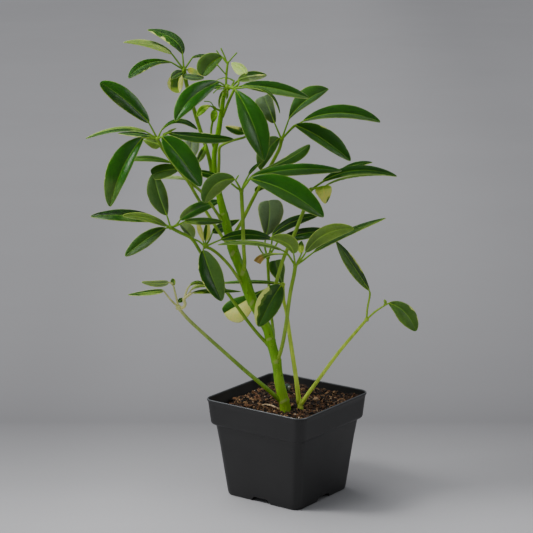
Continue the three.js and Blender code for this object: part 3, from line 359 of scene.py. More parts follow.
                via=[(302, 258, 30)], fullness=0.6, paint=[at_base(0.3, OLIVE)]),
        leaflet((314, 252, 27), (345, 234, 20), (385.6, 218.2, 14), (2.6, -6), (2.4, 5), SAGE,
                via=[(303.5, 260, 28)], fullness=0.65, left_face=DULL, cream=(0.06, 0),
                paint=[(0.7, 1.1, -1.2, -0.5, OLIVE)]),
        leaflet((293.6, 253.5, 31), (287, 243.4, 34), (269.7, 238.6, 36), (2.8, -4), (7, 3), UNDER,
                widest=0.45, fullness=0.6),
        leaflet((281, 249.8, 34), (251, 242.6, 38), (217.8, 244.9, 36), (1.8, 4), (1.4, -5), OLIVE,
                via=[(287.5, 254, 30)], fullness=0.6,
                paint=[(0.1, 0.62, -1.2, -0.35, UNDER), (0.7, 1.1, -1.2, -0.2, MOSS)]),
        leaflet((301.6, 253.4, 24), (300.8, 247.6, 16), (301.6, 240.8, 8), (2.4, 0), (2.6, 0), LIME,
                start=(297, 263, 28), paint=[at_tip(0.68, MOSS)]),
        leaflet((283, 254.2, 29), (266, 255.4, 25), (257, 262.6, 22), (1.4, 2), (1.4, -2), OLIVE,
                start=(288, 254.6, 30), widest=0.7, blunt=2.8,
                paint=[at_tip(0.64, BROWN), (-0.1, 0.3, -1.2, 0, LIME)]),
    ]),
    "leaf_back": compound(2.6, [
        (272.6, 345, 10), (273.7, 335, 1), (271.8, 319, -6), (270, 300, -9), (269, 286, -10),
        (268.4, 275, -11), (267.8, 264, -12), (267.9, 257.5, -13),
    ], [
        leaflet((266, 235.5, -17), (269.3, 217, -26), (268.8, 200.6, -38), (8, 2), (10.2, -2), ASH,
                via=[(264.8, 247, -15)], widest=0.6, fullness=0.5, blunt=5, gloss=0.1),
        leaflet((272.6, 235.5, -16), (292, 222.5, -16), (318.5, 215.3, -14), (4.2, -5), (3.8, 5), NIGHT,
                via=[(271.2, 246, -15)], fullness=0.6),
        leaflet((279, 240.5, -14), (304, 233.6, -8), (330, 231, -4), (4.4, -4), (4.6, 4), DARK,
                via=[(274.5, 247.5, -14)], fullness=0.6, left_face=NIGHT),
    ], twigs=[
        (1.4, [(267.9, 257.5, -13), (262.5, 253, -12), (258.2, 246, -11)]),
    ]),
    "leaf_lower_left": compound(2.6, [
        (243.5, 286, 6), (239, 279.5, 11), (230.5, 267, 14), (220, 255.7, 15), (212, 249.5, 15),
        (205, 246.5, 15),
    ], [
        leaflet((203, 250.4, 18), (211, 274.5, 28), (221.8, 301, 33), (9.4, 2), (8.4, 4), GLOSSY,
                fullness=0.62, left_face=FERN, right_face=DARK, cream=(0, 0.06), gloss=1),
        leaflet((203.4, 242, 10), (201, 233, 6), (197.4, 221.5, 0), (2, 1), (1.6, -1), CREAM, widest=0.65,
                fullness=0.6),
        leaflet((205.6, 241, 9), (206.8, 232, 3), (207.4, 221, -2), (2.4, 1), (2.8, -1), CREAM,
                left_face=MOSS, back=DARK),
        leaflet((212.4, 232.5, -3), (222, 227.3, -17), (239.6, 219.6, -27), (3.6, -1), (4, 1), DARK,
                via=[(209.5, 239.5, 11)]),
        leaflet((221, 239.6, 17), (246.5, 234.6, 19), (272.5, 239.4, 17), (4.2, -3), (4, 3), DARK,
                fullness=0.62),
        leaflet((193, 238.5, 8), (187, 230.6, 3), (179.5, 223.8, -2), (2.4, 2), (6, -2), DUSTY,
                via=[(199, 241.5, 12)], fullness=0.6, left_face=ASH, cream=(0, 0.08)),
    ]),
    "leaf_far_left": compound(2.8, [
        (268.5, 345, 12), (258, 334, 12), (247.6, 321, 12), (235, 303.6, 8), (229.7, 296, 6), (217, 279, 3),
        (206, 262, 4), (199.5, 250.5, 8), (191.5, 238.5, 15), (180, 232.5, 19), (170.5, 227.5, 21),
    ], [
        # painted highlight: the two lighter patches on this dark glossy leaflet
        leaflet((158, 220.5, 16), (126, 215.6, 14), (90.6, 216.4, 8), (4.6, 5), (5, -6), NIGHT,
                fullness=0.62, left_face=DARK, gloss=1,
                paint=[(0.35, 0.55, 0.3, 0.8, FERN), (0.7, 0.98, 0.1, 0.7, SAGE)]),
        leaflet((166, 225.8, 24), (145.5, 217.6, 29), (122.6, 215.8, 31), (2.6, -4), (3, 4), UNDER,
                fullness=0.55, paint=[at_base(0.25, OLIVE)]),
        leaflet((165.4, 228.2, 23), (146.5, 239.3, 30), (125.2, 256.2, 35), (5.4, 5), (6, -2), MOSS,
                widest=0.55, fullness=0.6, left_face=SAGE, gloss=0.5),
        leaflet((166.8, 215.2, 18), (159.3, 195.5, 8), (153.5, 173, -4), (9, 1), (6.4, -1), SAGE,
                widest=0.55, fullness=0.62),
        leaflet((180.4, 219.6, 19), (196.5, 209.6, 6), (220, 201, -9), (5.2, -4), (4.4, 4), MEADOW,
                via=[(176, 225, 21)], fullness=0.55,
                paint=[(-0.1, 0.4, 0, 1.2, OLIVE), at_tip(0.8, DARK)]),
        leaflet((184.5, 221.6, 20), (203, 221.2, 16), (223, 221.8, 12), (2.8, -4), (2.8, 4), SAGE,
                via=[(177, 225.5, 21)], fullness=0.6, left_face=FERN,
                paint=[(-0.1, 0.35, -1.2, -0.2, UNDER)]),
    ]),
    "leaf_left": compound(2.8, [
        (232.5, 250, 1), (221, 235, -6), (209, 216, -10), (201, 203.5, -9), (194.8, 193, 4),
        (188, 181.5, 20), (178, 169, 29), (170, 159, 33), (161.5, 147, 35), (157.5, 138.8, 35),
    ], [
        leaflet((148.7, 122.6, 33), (124.5, 99.5, 35), (100, 82.6, 34), (6.6, 3), (8, -3), GLOSSY,
                widest=0.55, fullness=0.52, left_face=DARK, paint=[(0.45, 0.62, 0.5, 0.95, SAGE)]),
        leaflet((146, 131.8, 35), (117.5, 129.1, 40), (85.8, 138.6, 42), (2.2, 6), (1.9, -6), OLIVE,
                fullness=0.65, left_face=SAGE, right_face=UNDER, paint=[at_base(0.25, UNDER)]),
        leaflet((152, 136.8, 32), (136.5, 134, 24), (118, 133.4, 16), (2.2, 4), (1.5, -4), DARK,
                left_face=DULL, right_face=NIGHT, cream=(0.08, 0)),
        # painted highlight: the lighter green toward this glossy leaflet's tip
        leaflet((143, 138, 38), (123.6, 166.2, 51), (110, 206.8, 57), (6.2, 5), (11.6, 1), GLOSSY,
                widest=0.54, fullness=0.62, cream=(0, 0.05), span=(0.45, 0.75),
                paint=[at_tip(0.72, FERN)]),
        leaflet((162, 137, 38), (181, 158.2, 45), (200.8, 186.5, 47), (10.8, 2), (7.8, 3), GLOSSY,
                fullness=0.6, cream=(0.06, 0), span=(0.45, 0.9)),
        leaflet((168.5, 133.2, 34), (200, 137.6, 25), (233.6, 139.2, 17), (4, -6), (4.4, 6), MOSS,
                widest=0.55, fullness=0.6, left_face=DARK, cream=(0.14, 0), span=(0.4, 0.8)),
        leaflet((161.6, 130, 33), (178.6, 120.6, 22), (197.2, 129.4, 12), (1.8, -5), (2.2, 5), DARK,
                widest=0.64, fullness=0.6, paint=[(0.36, 0.66, 0.45, 1.2, UNDER)]),
        leaflet((167.5, 132.3, 32), (171.5, 130.3, 27), (176.3, 128.4, 24), (0.5, 0), (0.6, 0), UNDER,
                start=(163, 134.5, 34)),
        leaflet((161, 145.4, 22), (153.4, 142.6, 20), (143.2, 140.2, 16), (4.4, 0), (3.4, 0), OLIVE,
                widest=0.4, left_face=UNDER),
    ]),
    "leaf_small": compound(1.8, [
        (217, 180, 2), (218.4, 172, 5), (219, 160, 6), (219.4, 148.5, 7), (223.5, 144.3, 8),
        (233, 140.4, 9), (243.5, 137.6, 9), (247.5, 135, 9),
    ], [
        leaflet((246.5, 131.6, 9), (237, 130.3, 10), (225.4, 126.3, 12), (3.4, 2), (3, -2), DARK,
                fullness=0.6, paint=[(0.42, 1.1, -1.2, -0.2, CREAM)]),
    ], foot=3, hub=1.3),
    "leaf_inner": compound(2.4, [
        (221.5, 220.5, 3), (217.5, 214, 6), (209, 201.5, 8), (199.5, 190, 10), (191, 182.5, 12),
        (188, 172, 13),
    ], [
        leaflet((170, 162.4, 13), (146, 158.9, 18), (121, 161.5, 20), (1.9, 5), (2.6, -5), FERN),
        leaflet((178.5, 169, 15), (165, 170.6, 18), (152, 175, 20), (5.2, 2), (5.2, -2), MOSS, widest=0.55,
                fullness=0.45, blunt=2.5, left_face=FERN),
        leaflet((186, 179.4, 11), (173.5, 177.5, 7), (160.5, 178.6, 4), (1.1, 3), (1.4, -3), DUSTY,
                start=(190, 180, 12)),
        leaflet((189, 165, 10), (191.4, 149, 3), (191, 135.6, -4), (5.4, 0), (5.6, 0),
                colour(126, 144, 120), widest=0.6, blunt=2.4, gloss=0.1),
        leaflet((196.5, 163, 13), (202, 154, 11), (205.6, 144.5, 7), (2.6, 0), (2.6, 0), FERN,
                left_face=SAGE, right_face=OLIVE, paint=[at_tip(0.7, YOUNG)]),
        leaflet((195, 172, 14), (207, 173.4, 14), (221, 178.5, 14), (2, -2), (3.4, 2), DARK),
    ]),
    "leaf_long_stalk": compound(2.6, [
        (282.5, 403, 18), (272, 393.2, 20), (262, 384.6, 22), (244, 369.6, 24), (226, 353.6, 26),
        (208, 337.6, 28), (190, 321, 30), (181.2, 311.3, 31), (178.5, 307.5, 31),
    ], [
        leaflet((168.3, 282.2, 32), (156.5, 283.6, 35), (141.5, 282, 38), (2.4, -2), (2.2, 2), DUSTY,
                start=(173.2, 284, 32), widest=0.42, fullness=0.55),
        leaflet((173.4, 285.5, 32), (173, 281.6, 30), (172.6, 278.4, 28), (1.7, 0), (1.7, 0), FERN,
                via=[(175.4, 294, 32)], fullness=0.5, paint=[(-0.1, 1.1, -1.2, -0.5, LIME)]),
        leaflet((163.4, 290.8, 33), (147, 292.8, 40), (128, 294.9, 44), (1.8, 4), (1.8, -4), UNDER,
                via=[(170.5, 299.6, 32)], widest=0.4, fullness=0.6, right_face=SAGE, cream=(0.14, 0),
                paint=[(0.7, 1.1, 0, 1.2, SAGE)]),
        leaflet((190, 285.4, 31), (197.5, 282.4, 27), (206.5, 285.5, 23), (1.2, -2), (1.3, 2), OLIVE,
                start=(184.2, 299, 32), via=[(187.2, 289.5, 31.5)]),
        leaflet((191.5, 289.6, 30), (199.5, 285.6, 24), (209.5, 287.2, 19), (1.1, -2), (1.3, 2), PALE,
                start=(187.5, 296, 32), cream=(0.15, 0)),
        leaflet((192.5, 292.8, 30), (213, 291, 20), (240.8, 291.6, 12), (1.7, -3), (1.7, 3), FERN,
                start=(187.5, 296, 32), right_face=DARK, paint=[(-0.1, 0.3, -1.2, -0.2, LIME)]),
        leaflet((183.2, 298.6, 31), (180.4, 300.4, 29), (177.8, 302, 27), (1.6, 0), (1.6, 0), DARK,
                start=(184, 299.5, 32)),
    ], twigs=[
        (2.6, [(179, 308.8, 31), (183.2, 307.4, 31.5), (185.2, 304.2, 32), (184, 299.5, 32),
               (186.5, 296.6, 32), (191, 293.4, 31)]),
    ], foot=3.8, hub=2.6),
}
SIDE_STEM = [
    (301.8, 426, 17, 5.2), (301, 412, 17, 5.2), (300, 404, 17, 4.8), (299.4, 399.5, 17, 4.2),
]
SIDE_LEAVES = {
    "near_left": compound(2.6, [
        (299, 403, 17), (296.2, 379, 17), (291.2, 346, 16), (288.6, 328, 15.5), (286.2, 311, 15),
        (283.8, 301, 16), (283, 284.5, 15),
    ], [
        leaflet((281, 285.8, 19), (270, 303, 30), (258.4, 326.6, 36), (8.8, 2), (10.4, 2), MOSS,
                fullness=0.55, cream=(0, 0.34), span=(0.2, 1.1), gloss=0.5),
        leaflet((279, 283.5, 12), (250, 281.9, -8), (217.5, 283.6, -25), (1, 3), (1.2, -3), FERN,
                fullness=0.5, left_face=NIGHT),
        leaflet((283.6, 286.4, 9), (279, 274, 3), (275.4, 260.4, -4), (5, 1), (4.8, -1), MOSS, widest=0.66,
                blunt=4.4, right_face=FERN),
        leaflet((263, 290.3, -2), (243, 302.4, -16), (224, 313.4, -18), (12.2, 3), (5.8, -2), MEADOW,
                via=[(275, 287.5, 8)], widest=0.68, fullness=0.6, blunt=3, left_face=CREAM, back=MOSS,
                gloss=0.3, paint=[(-0.1, 0.25, 0, 1.2, MOSS)]),
    ], foot=4),
    "far_right": compound(2.4, [
        (300.6, 405, 17), (308, 394, 18), (319, 379, 19), (339, 352, 20), (358, 329.5, 21),
        (366.7, 319.5, 22),
    ], [
        leaflet((369, 290.2, 24), (353, 265.8, 24), (336.3, 241.4, 22), (5.2, 5), (4.2, -5), FERN,
                via=[(367.3, 309, 23), (369.9, 295, 24)], right_face=SAGE, cream=(0, 0.3), span=(0.3, 0.75),
                paint=[(0.7, 1.1, -1.2, 0, MOSS)]),
        leaflet((388.6, 303.3, 26), (404.8, 312.4, 31), (415.9, 331.2, 35), (6.8, -2), (7.8, 3), FERN,
                via=[(376, 311, 24)], widest=0.58, fullness=0.6, cream=(0.16, 0), span=(0.45, 0.95)),
        leaflet((386.3, 303.8, 26), (385.2, 301.6, 26), (384.3, 299.3, 26), (0.9, 0), (0.9, 0), UNDER,
                start=(384, 304.5, 25.5)),
    ], foot=3.6),
}


def seen(spot):
    """The place of a picture column and row, so many millimetres in front of the pot's axis."""
    column, row, near = spot
    ray = (AHEAD + ACROSS * ((column - VIEW_CENTRE_PX) / VIEW_FOCAL_PX)
           + UPWARD * ((VIEW_CENTRE_PX - row) / VIEW_FOCAL_PX))
    reach = (VIEW_DISTANCE - near) / ray.y
    return Vector((VIEW_SIDE, -VIEW_DISTANCE, VIEW_HEIGHT)) + ray * reach


def mixed(first, second, share):
    return tuple(a + (b - a) * share for a, b in zip(first, second))


def soft_step(value, low, high):
    share = min(max((value - low) / (high - low), 0.0), 1.0)
    return share * share * (3 - 2 * share)


# ---- Making meshes ----
def spline(stations, steps):
    """Smooth way through (point, width) stations; gives (point, width, station number)."""
    points = [s[0] for s in stations]
    padded = [points[0] * 2 - points[1], *points, points[-1] * 2 - points[-2]]
    out = []
    for i in range(len(points) - 1):
        a, b, c, d = padded[i:i + 4]
        for k in range(steps if i < len(points) - 2 else steps + 1):
            t = k / steps
            point = (b * 2 + (c - a) * t + (a * 2 - b * 5 + c * 4 - d) * t ** 2
                     + (b * 3 - a - c * 3 + d) * t ** 3) * 0.5
            width = stations[i][1] + (stations[i + 1][1] - stations[i][1]) * t
            out.append((point, width, i + t))
    return out


class Skin:
    """Collects the points and faces of one piece, in millimetres, with values for its material.

    On a blade, place is how far along and across a point lies as shares, and whether it is on the
    lower side; size is the same in millimetres, and then the gloss; mark is the pale edge's width.
    On a stem or stalk, mark is how pale a scar, or on the main stem one painted highlight, makes it."""

    def __init__(self):
        self.points = []
        self.faces = []
        self.tints = []
        self.places = []
        self.sizes = []
        self.marks = []

    def add(self, point, tint, place=(0.0, 0.0, 0.0), size=(0.0, 0.0, 0.0), mark=0.0):
        self.points.append(point)
        self.tints.append(tint)
        self.places.append(place)
        self.sizes.append(size)
        self.marks.append((mark,))
        return len(self.points) - 1

    def bridge(self, rings):
        for first, second in zip(rings, rings[1:]):
            count = len(first)
            for i in range(count):
                k = (i + 1) % count
                self.faces.append((first[i], first[k], second[k], second[i]))

    def fan(self, ring, centre, turned):
        count = len(ring)
        for i in range(count):
            k = (i + 1) % count
            self.faces.append((ring[k], ring[i], centre) if turned else (ring[i], ring[k], centre))

    def piece(self, name, material, node, slot, smooth=True):
        """The finished mesh piece, which takes the place of a solid."""
        mesh = bpy.data.meshes.new(name)
        mesh.from_pydata([TURN @ p * MM for p in self.points], [], self.faces)
        for key, kind, field, values in (
                ("tint", "FLOAT_COLOR", "color", self.tints),
                ("place", "FLOAT_VECTOR", "vector", self.places),
                ("size", "FLOAT_VECTOR", "vector", self.sizes),
                ("mark", "FLOAT", "value", self.marks)):
            layer = mesh.attributes.new(key, kind, "POINT")
            layer.data.foreach_set(field, [number for entry in values for number in entry])
        mesh.polygons.foreach_set("use_smooth", [smooth] * len(mesh.polygons))
        mesh.update()
        mesh.materials.append(material)
        piece = bpy.data.objects.new(name, mesh)
        bpy.context.collection.objects.link(piece)
        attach(piece, "root")
        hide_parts(node)
        return piece


def add_stalk(skin, stations, sides, tint_at, steps=4, radius_at=None, mark_at=None):
    """A round stalk through (point, width) stations, closed at both ends by rounded caps."""
    way = spline(stations, steps)
    side = None
    rings = []
    run = 0.0
    for i, (centre, width, station) in enumerate(way):
        ahead = way[min(i + 1, len(way) - 1)][0]
        behind = way[max(i - 1, 0)][0]
        along = (ahead - behind).normalized()
        if side is None:
            side = along.orthogonal().normalized()
        else:
            side = (side - along * side.dot(along)).normalized()
            run += (centre - way[i - 1][0]).length
        other = along.cross(side)
        share = i / (len(way) - 1)
        ring = []
        for k in range(sides):
            angle = 2 * math.pi * k / sides
            out = side * math.cos(angle) + other * math.sin(angle)
            radius = width / 2
            if radius_at:
                radius *= radius_at(centre, out, station, run)
            point = centre + out * radius
            mark = mark_at(point, station) if mark_at else 0.0
            ring.append(skin.add(point, tint_at(share), mark=mark))
        rings.append(ring)
    skin.bridge(rings)
    for ring, entry, sign in ((rings[0], way[0], -1), (rings[-1], way[-1], 1)):
        neighbour = way[1][0] if sign < 0 else way[-2][0]
        out = (entry[0] - neighbour).normalized()
        tip = skin.add(entry[0] + out * entry[1] * CAP_BULGE, tint_at(0.0 if sign < 0 else 1.0))
        skin.fan(ring, tip, sign < 0)


def add_knuckle(skin, centre, radius, tint, seed):
    """Rounded, slightly lumpy joint where leaflet stalks meet."""
    ball = bmesh.new()
    bmesh.ops.create_icosphere(ball, subdivisions=3, radius=1.0)
    first = len(skin.points)
    for vertex in ball.verts:
        lump = 1.0 + KNUCKLE_LUMP * noise.noise(vertex.co * 1.8 + Vector((seed, seed, seed)))
        skin.add(centre + vertex.co * radius * lump, tint)
    for face in ball.faces:
        skin.faces.append(tuple(first + v.index for v in face.verts))
    ball.free()


# ---- Leaflets ----
def rib_point(leaf, t):
    bend = leaf["mid"] * 2 - leaf["base"] * 0.5 - leaf["tip"] * 0.5
    return leaf["base"] * (1 - t) ** 2 + bend * (2 * t * (1 - t)) + leaf["tip"] * t ** 2


def half_width_share(t, widest, fullness):
    lean = math.log(0.5) / math.log(widest)
    return max(math.sin(math.pi * t ** lean), 0.0) ** fullness


def between(value, low, high, soft):
    """1 between low and high, 0 outside, with soft ends."""
    return soft_step(value, low - soft, low + soft) * soft_step(-value, -high - soft, soft - high)


def painted(tint, patches, t, c):
    """The face colour at a place of the blade, under the leaflet's soft patches."""
    for start, end, low, high, patch in patches:
        tint = mixed(tint, patch, between(t, start, end, 0.07) * between(c, low, high, 0.1))
    return tint


def add_blade(skin, leaf, seed):
    """A closed thin blade: folded at the midrib, arched in each half, with a waved edge."""
    length = (leaf["mid"] - leaf["base"]).length + (leaf["tip"] - leaf["mid"]).length
    count = max(12, int(length * BLADE_RINGS_PER_MM))
    upper_shows = leaf["face"] not in UNDERSIDES
    turn = 1.0 if upper_shows else -1.0
    under = 0.0 if upper_shows else 1.0
    back = leaf.get("back", UNDER if upper_shows else DARK)
    low, high = leaf["span"]
    halves = [(1, leaf["left"], leaf["left_face"], leaf["cream"][0]),
              (-1, leaf["right"], leaf["right_face"], leaf["cream"][1])]
    face = {sign: tint for sign, _, tint, _ in halves}
    columns = [(1, c) for c in COLUMNS] + [(-1, c) for c in reversed(COLUMNS[:-1])]
    rings = []
    for i in range(count + 1):
        even = i / count
        t = even + (0.5 - 0.5 * math.cos(math.pi * even) - even) * BLADE_RING_CROWDING
        rib = rib_point(leaf, t)
        along = (rib_point(leaf, t + 0.02) - rib_point(leaf, t - 0.02)).normalized()
        leftward = (ACROSS * -along.dot(UPWARD) + UPWARD * along.dot(ACROSS)).normalized()
        share = half_width_share(t, leaf["widest"], leaf["fullness"])
        least = (BLADE_BASE_HALF_WIDTH + (BLADE_TIP_HALF_WIDTH - BLADE_BASE_HALF_WIDTH) * t
                 + leaf["blunt"] * t ** 3)
        wave = BLADE_WAVE * share * math.sin(BLADE_WAVE_TURNS * t + leaf["phase"])
        inside = soft_step(t, low - 0.03, low + 0.05) * soft_step(-t, -high - 0.03, 0.05 - high)
        edges = {}
        pale = {}
        for sign, half, _, cream in halves:
            rough = noise.noise(Vector((t * 7, seed, sign * 3.0)))
            nick = max(noise.noise(Vector((t * length * 0.3, seed + 9, sign * 5.0))), 0.0)
            trim = 1 + EDGE_WANDER * rough - (PALE_EDGE_NICK if cream else GREEN_EDGE_NICK) * nick
            ripple = BLADE_RIPPLE * share * noise.noise(Vector((t * 5, seed + 20, sign * 2.0)))
            edges[sign] = (rib + leftward * sign * (half[0] * share * trim + least)
                           + TOWARD * (half[1] * share + sign * wave + ripple))
            patchy = noise.noise(Vector((t * length * 0.2, seed + 40, sign * 7.0)))
            patchy = 0.95 + 0.9 * patchy if cream > BROAD_EDGE else 0.6 + 2.4 * patchy
            pale[sign] = cream * inside * max(patchy, 0.0)
        normal = along.cross(edges[1] - edges[-1]).normalized()
        front = []
        rear = []
        for sign, c in columns:
            width = (edges[sign] - rib).length
            across = c * width
            arch = BLADE_ARCH * width * 4 * c * (1 - c) * turn
            quilt = math.sin((t * length - across * BLADE_QUILT_SLANT) * BLADE_QUILT_PER_MM)
            quilt = BLADE_QUILT * share * quilt * c * (1 - c) * 4
            surface = rib.lerp(edges[sign], c) + normal * (arch + quilt)
            thin = BLADE_HALF_THICKNESS * (1 - BLADE_EDGE_THINNING * c ** 4)
            ridge = math.exp(-(across / RIB_WIDTH) ** 2) * (1 - RIB_FADE * t) * min(share * 3, 1.0)
            lifts = (-RIB_GROOVE * ridge, RIB_RIDGE * ridge)
            lift_front, lift_rear = lifts if upper_shows else lifts[::-1]
            front.append(skin.add(
                surface + normal * (thin + lift_front), painted(face[sign], leaf["paint"], t, sign * c),
                (t, sign * c, under), (t * length, sign * across, leaf["gloss"]), pale[sign]))
            rear.append(skin.add(
                surface - normal * (thin + lift_rear), back,
                (t, sign * c, 1.0 - under), (t * length, sign * across, REAR_GLOSS), pale[sign]))
        rings.append(front + list(reversed(rear)))
    skin.bridge(rings)
    half = len(columns)
    for ring, turned in ((rings[0], True), (rings[-1], False)):
        for k in range(half - 1):
            quad = (ring[k], ring[k + 1], ring[2 * half - 2 - k], ring[2 * half - 1 - k])
            skin.faces.append(tuple(reversed(quad)) if turned else quad)


def add_compound_leaf(name, leaf, blades, stalks, seed):
    route = [seen(spot) for spot in leaf["route"]]
    hub = route[-1]
    foot = leaf.get("foot", leaf["width"])
    last = len(route) - 1
    tint = mixed(STALK, STALK_PALE, 0.15 + 0.5 * random.random())
    if name in SIDE_LEAVES:
        tint = STALK_LIGHT
    top = STALK_CREAM if name == "leaf_long_stalk" else mixed(tint, STALK, 0.6)

    def sheath(centre, out, station, run):
        flare = 0.15 if "foot" in leaf else 0.45
        return 1.0 + flare * math.exp(-run / 3.5) + 0.03 * noise.noise(centre * 0.35)

    stations = [(point, foot + (leaf["width"] - foot) * i / last) for i, point in enumerate(route)]
    add_stalk(stalks, stations, STALK_SIDES, lambda share: mixed(tint, top, share ** 3), steps=5,
              radius_at=sheath)
    add_knuckle(stalks, hub, leaf.get("hub", HUB_RADIUS) * KNUCKLE_SHARE, mixed(tint, top, 0.8), seed)
    for width, through in leaf["twigs"]:
        add_stalk(stalks, [(seen(spot), width) for spot in through], TWIG_SIDES, lambda share: top)
    for index, entry in enumerate(leaf["leaflets"]):
        shape = {**entry, "phase": index * BLADE_WAVE_SHIFT}
        for key in ("base", "mid", "tip"):
            shape[key] = seen(entry[key])
        start = seen(entry["start"]) if "start" in entry else hub
        bends = [seen(spot) for spot in entry["via"]]
        way = [start, *bends, shape["base"], rib_point(shape, 0.07), rib_point(shape, 0.16)]
        widths = [LEAFLET_STALK_WIDTH] * (len(bends) + 1) + [*LEAFLET_STALK_ENDS]
        add_stalk(stalks, list(zip(way, widths)), TWIG_SIDES,
                  lambda share: mixed(top, STALK, 0.5 * share))
        add_blade(blades, shape, seed + index * LEAFLET_SEED_STEP)


# ---- Materials ----
class Paint:
    """A node material with short calls for its nodes."""

    def __init__(self, name):
        self.material = bpy.data.materials.new(name)
        self.material.use_nodes = True
        self.tree = self.material.node_tree
        self.shader = self.tree.nodes["Principled BSDF"]
        self.position = self.node("ShaderNodeTexCoord").outputs["Object"]
        self.colour = None

    def node(self, kind, settings=None, **inputs):
        made = self.tree.nodes.new(kind)
        for key, value in (settings or {}).items():
            setattr(made, key, value)
        for key, value in inputs.items():
            self.feed(made.inputs[key.replace("_", " ")], value)
        return made

    def feed(self, socket, value):
        if isinstance(value, bpy.types.NodeSocket):
            self.tree.links.new(value, socket)
        else:
            socket.default_value = value

    def shade(self, socket, value):
        self.feed(self.shader.inputs[socket], value)

    def attribute(self, name, output="Fac"):
        return self.node("ShaderNodeAttribute", {"attribute_name": name}).outputs[output]

    def parts(self, vector):
        """The three numbers of a vector."""
        return self.node("ShaderNodeSeparateXYZ", Vector=vector).outputs[0:3]

    def math(self, operation, first, second=0.0):
        made = self.node("ShaderNodeMath", {"operation": operation})
        self.feed(made.inputs[0], first)
        self.feed(made.inputs[1], second)
        return made.outputs[0]

    def plus(self, first, second):
        return self.math("ADD", first, second)

    def minus(self, first, second):
        return self.math("SUBTRACT", first, second)

    def times(self, first, second):
        return self.math("MULTIPLY", first, second)

    def step(self, value, low, high, to_low=0.0, to_high=1.0):
        made = self.node("ShaderNodeMapRange", {"interpolation_type": "SMOOTHSTEP"})
        for socket, number in zip(made.inputs, (value, low, high, to_low, to_high)):
            self.feed(socket, number)
        return made.outputs[0]

    def mix(self, share, first, second, blend="MIX"):
        made = self.node("ShaderNodeMix", {"data_type": "RGBA", "blend_type": blend})
        self.feed(made.inputs["Factor"], share)
        self.feed(made.inputs[6], first)
        self.feed(made.inputs[7], second)
        return made.outputs[2]

    def scaled(self, tint, red, green, blue):
        return self.mix(1.0, tint, (red, green, blue, 1.0), "MULTIPLY")

    def lay(self, share, tint):
        """Lay another colour over the base colour."""
        self.colour = self.mix(share, self.colour, tint)
        self.shade("Base Color", self.colour)

    def noise(self, scale, detail, roughness=0.55, vector=None):
        made = self.node("ShaderNodeTexNoise", {"noise_dimensions": "3D"}, Scale=scale, Detail=detail,
                         Roughness=roughness)
        self.feed(made.inputs["Vector"], vector or self.position)
        return made.outputs[0]

    def dots(self, scale, near, far, most):
        """A mask of dots: most within near of scattered points, fading to 0 at far."""
        made = self.node("ShaderNodeTexVoronoi", {"feature": "F1"}, Vector=self.position, Scale=scale)
        return self.step(made.outputs["Distance"], near, far, most, 0.0)

    def bump(self, height, distance, strength, normal=None):
        made = self.node("ShaderNodeBump", Strength=strength, Distance=distance, Height=height)
        if normal is not None:
            self.feed(made.inputs["Normal"], normal)
        return made.outputs[0]


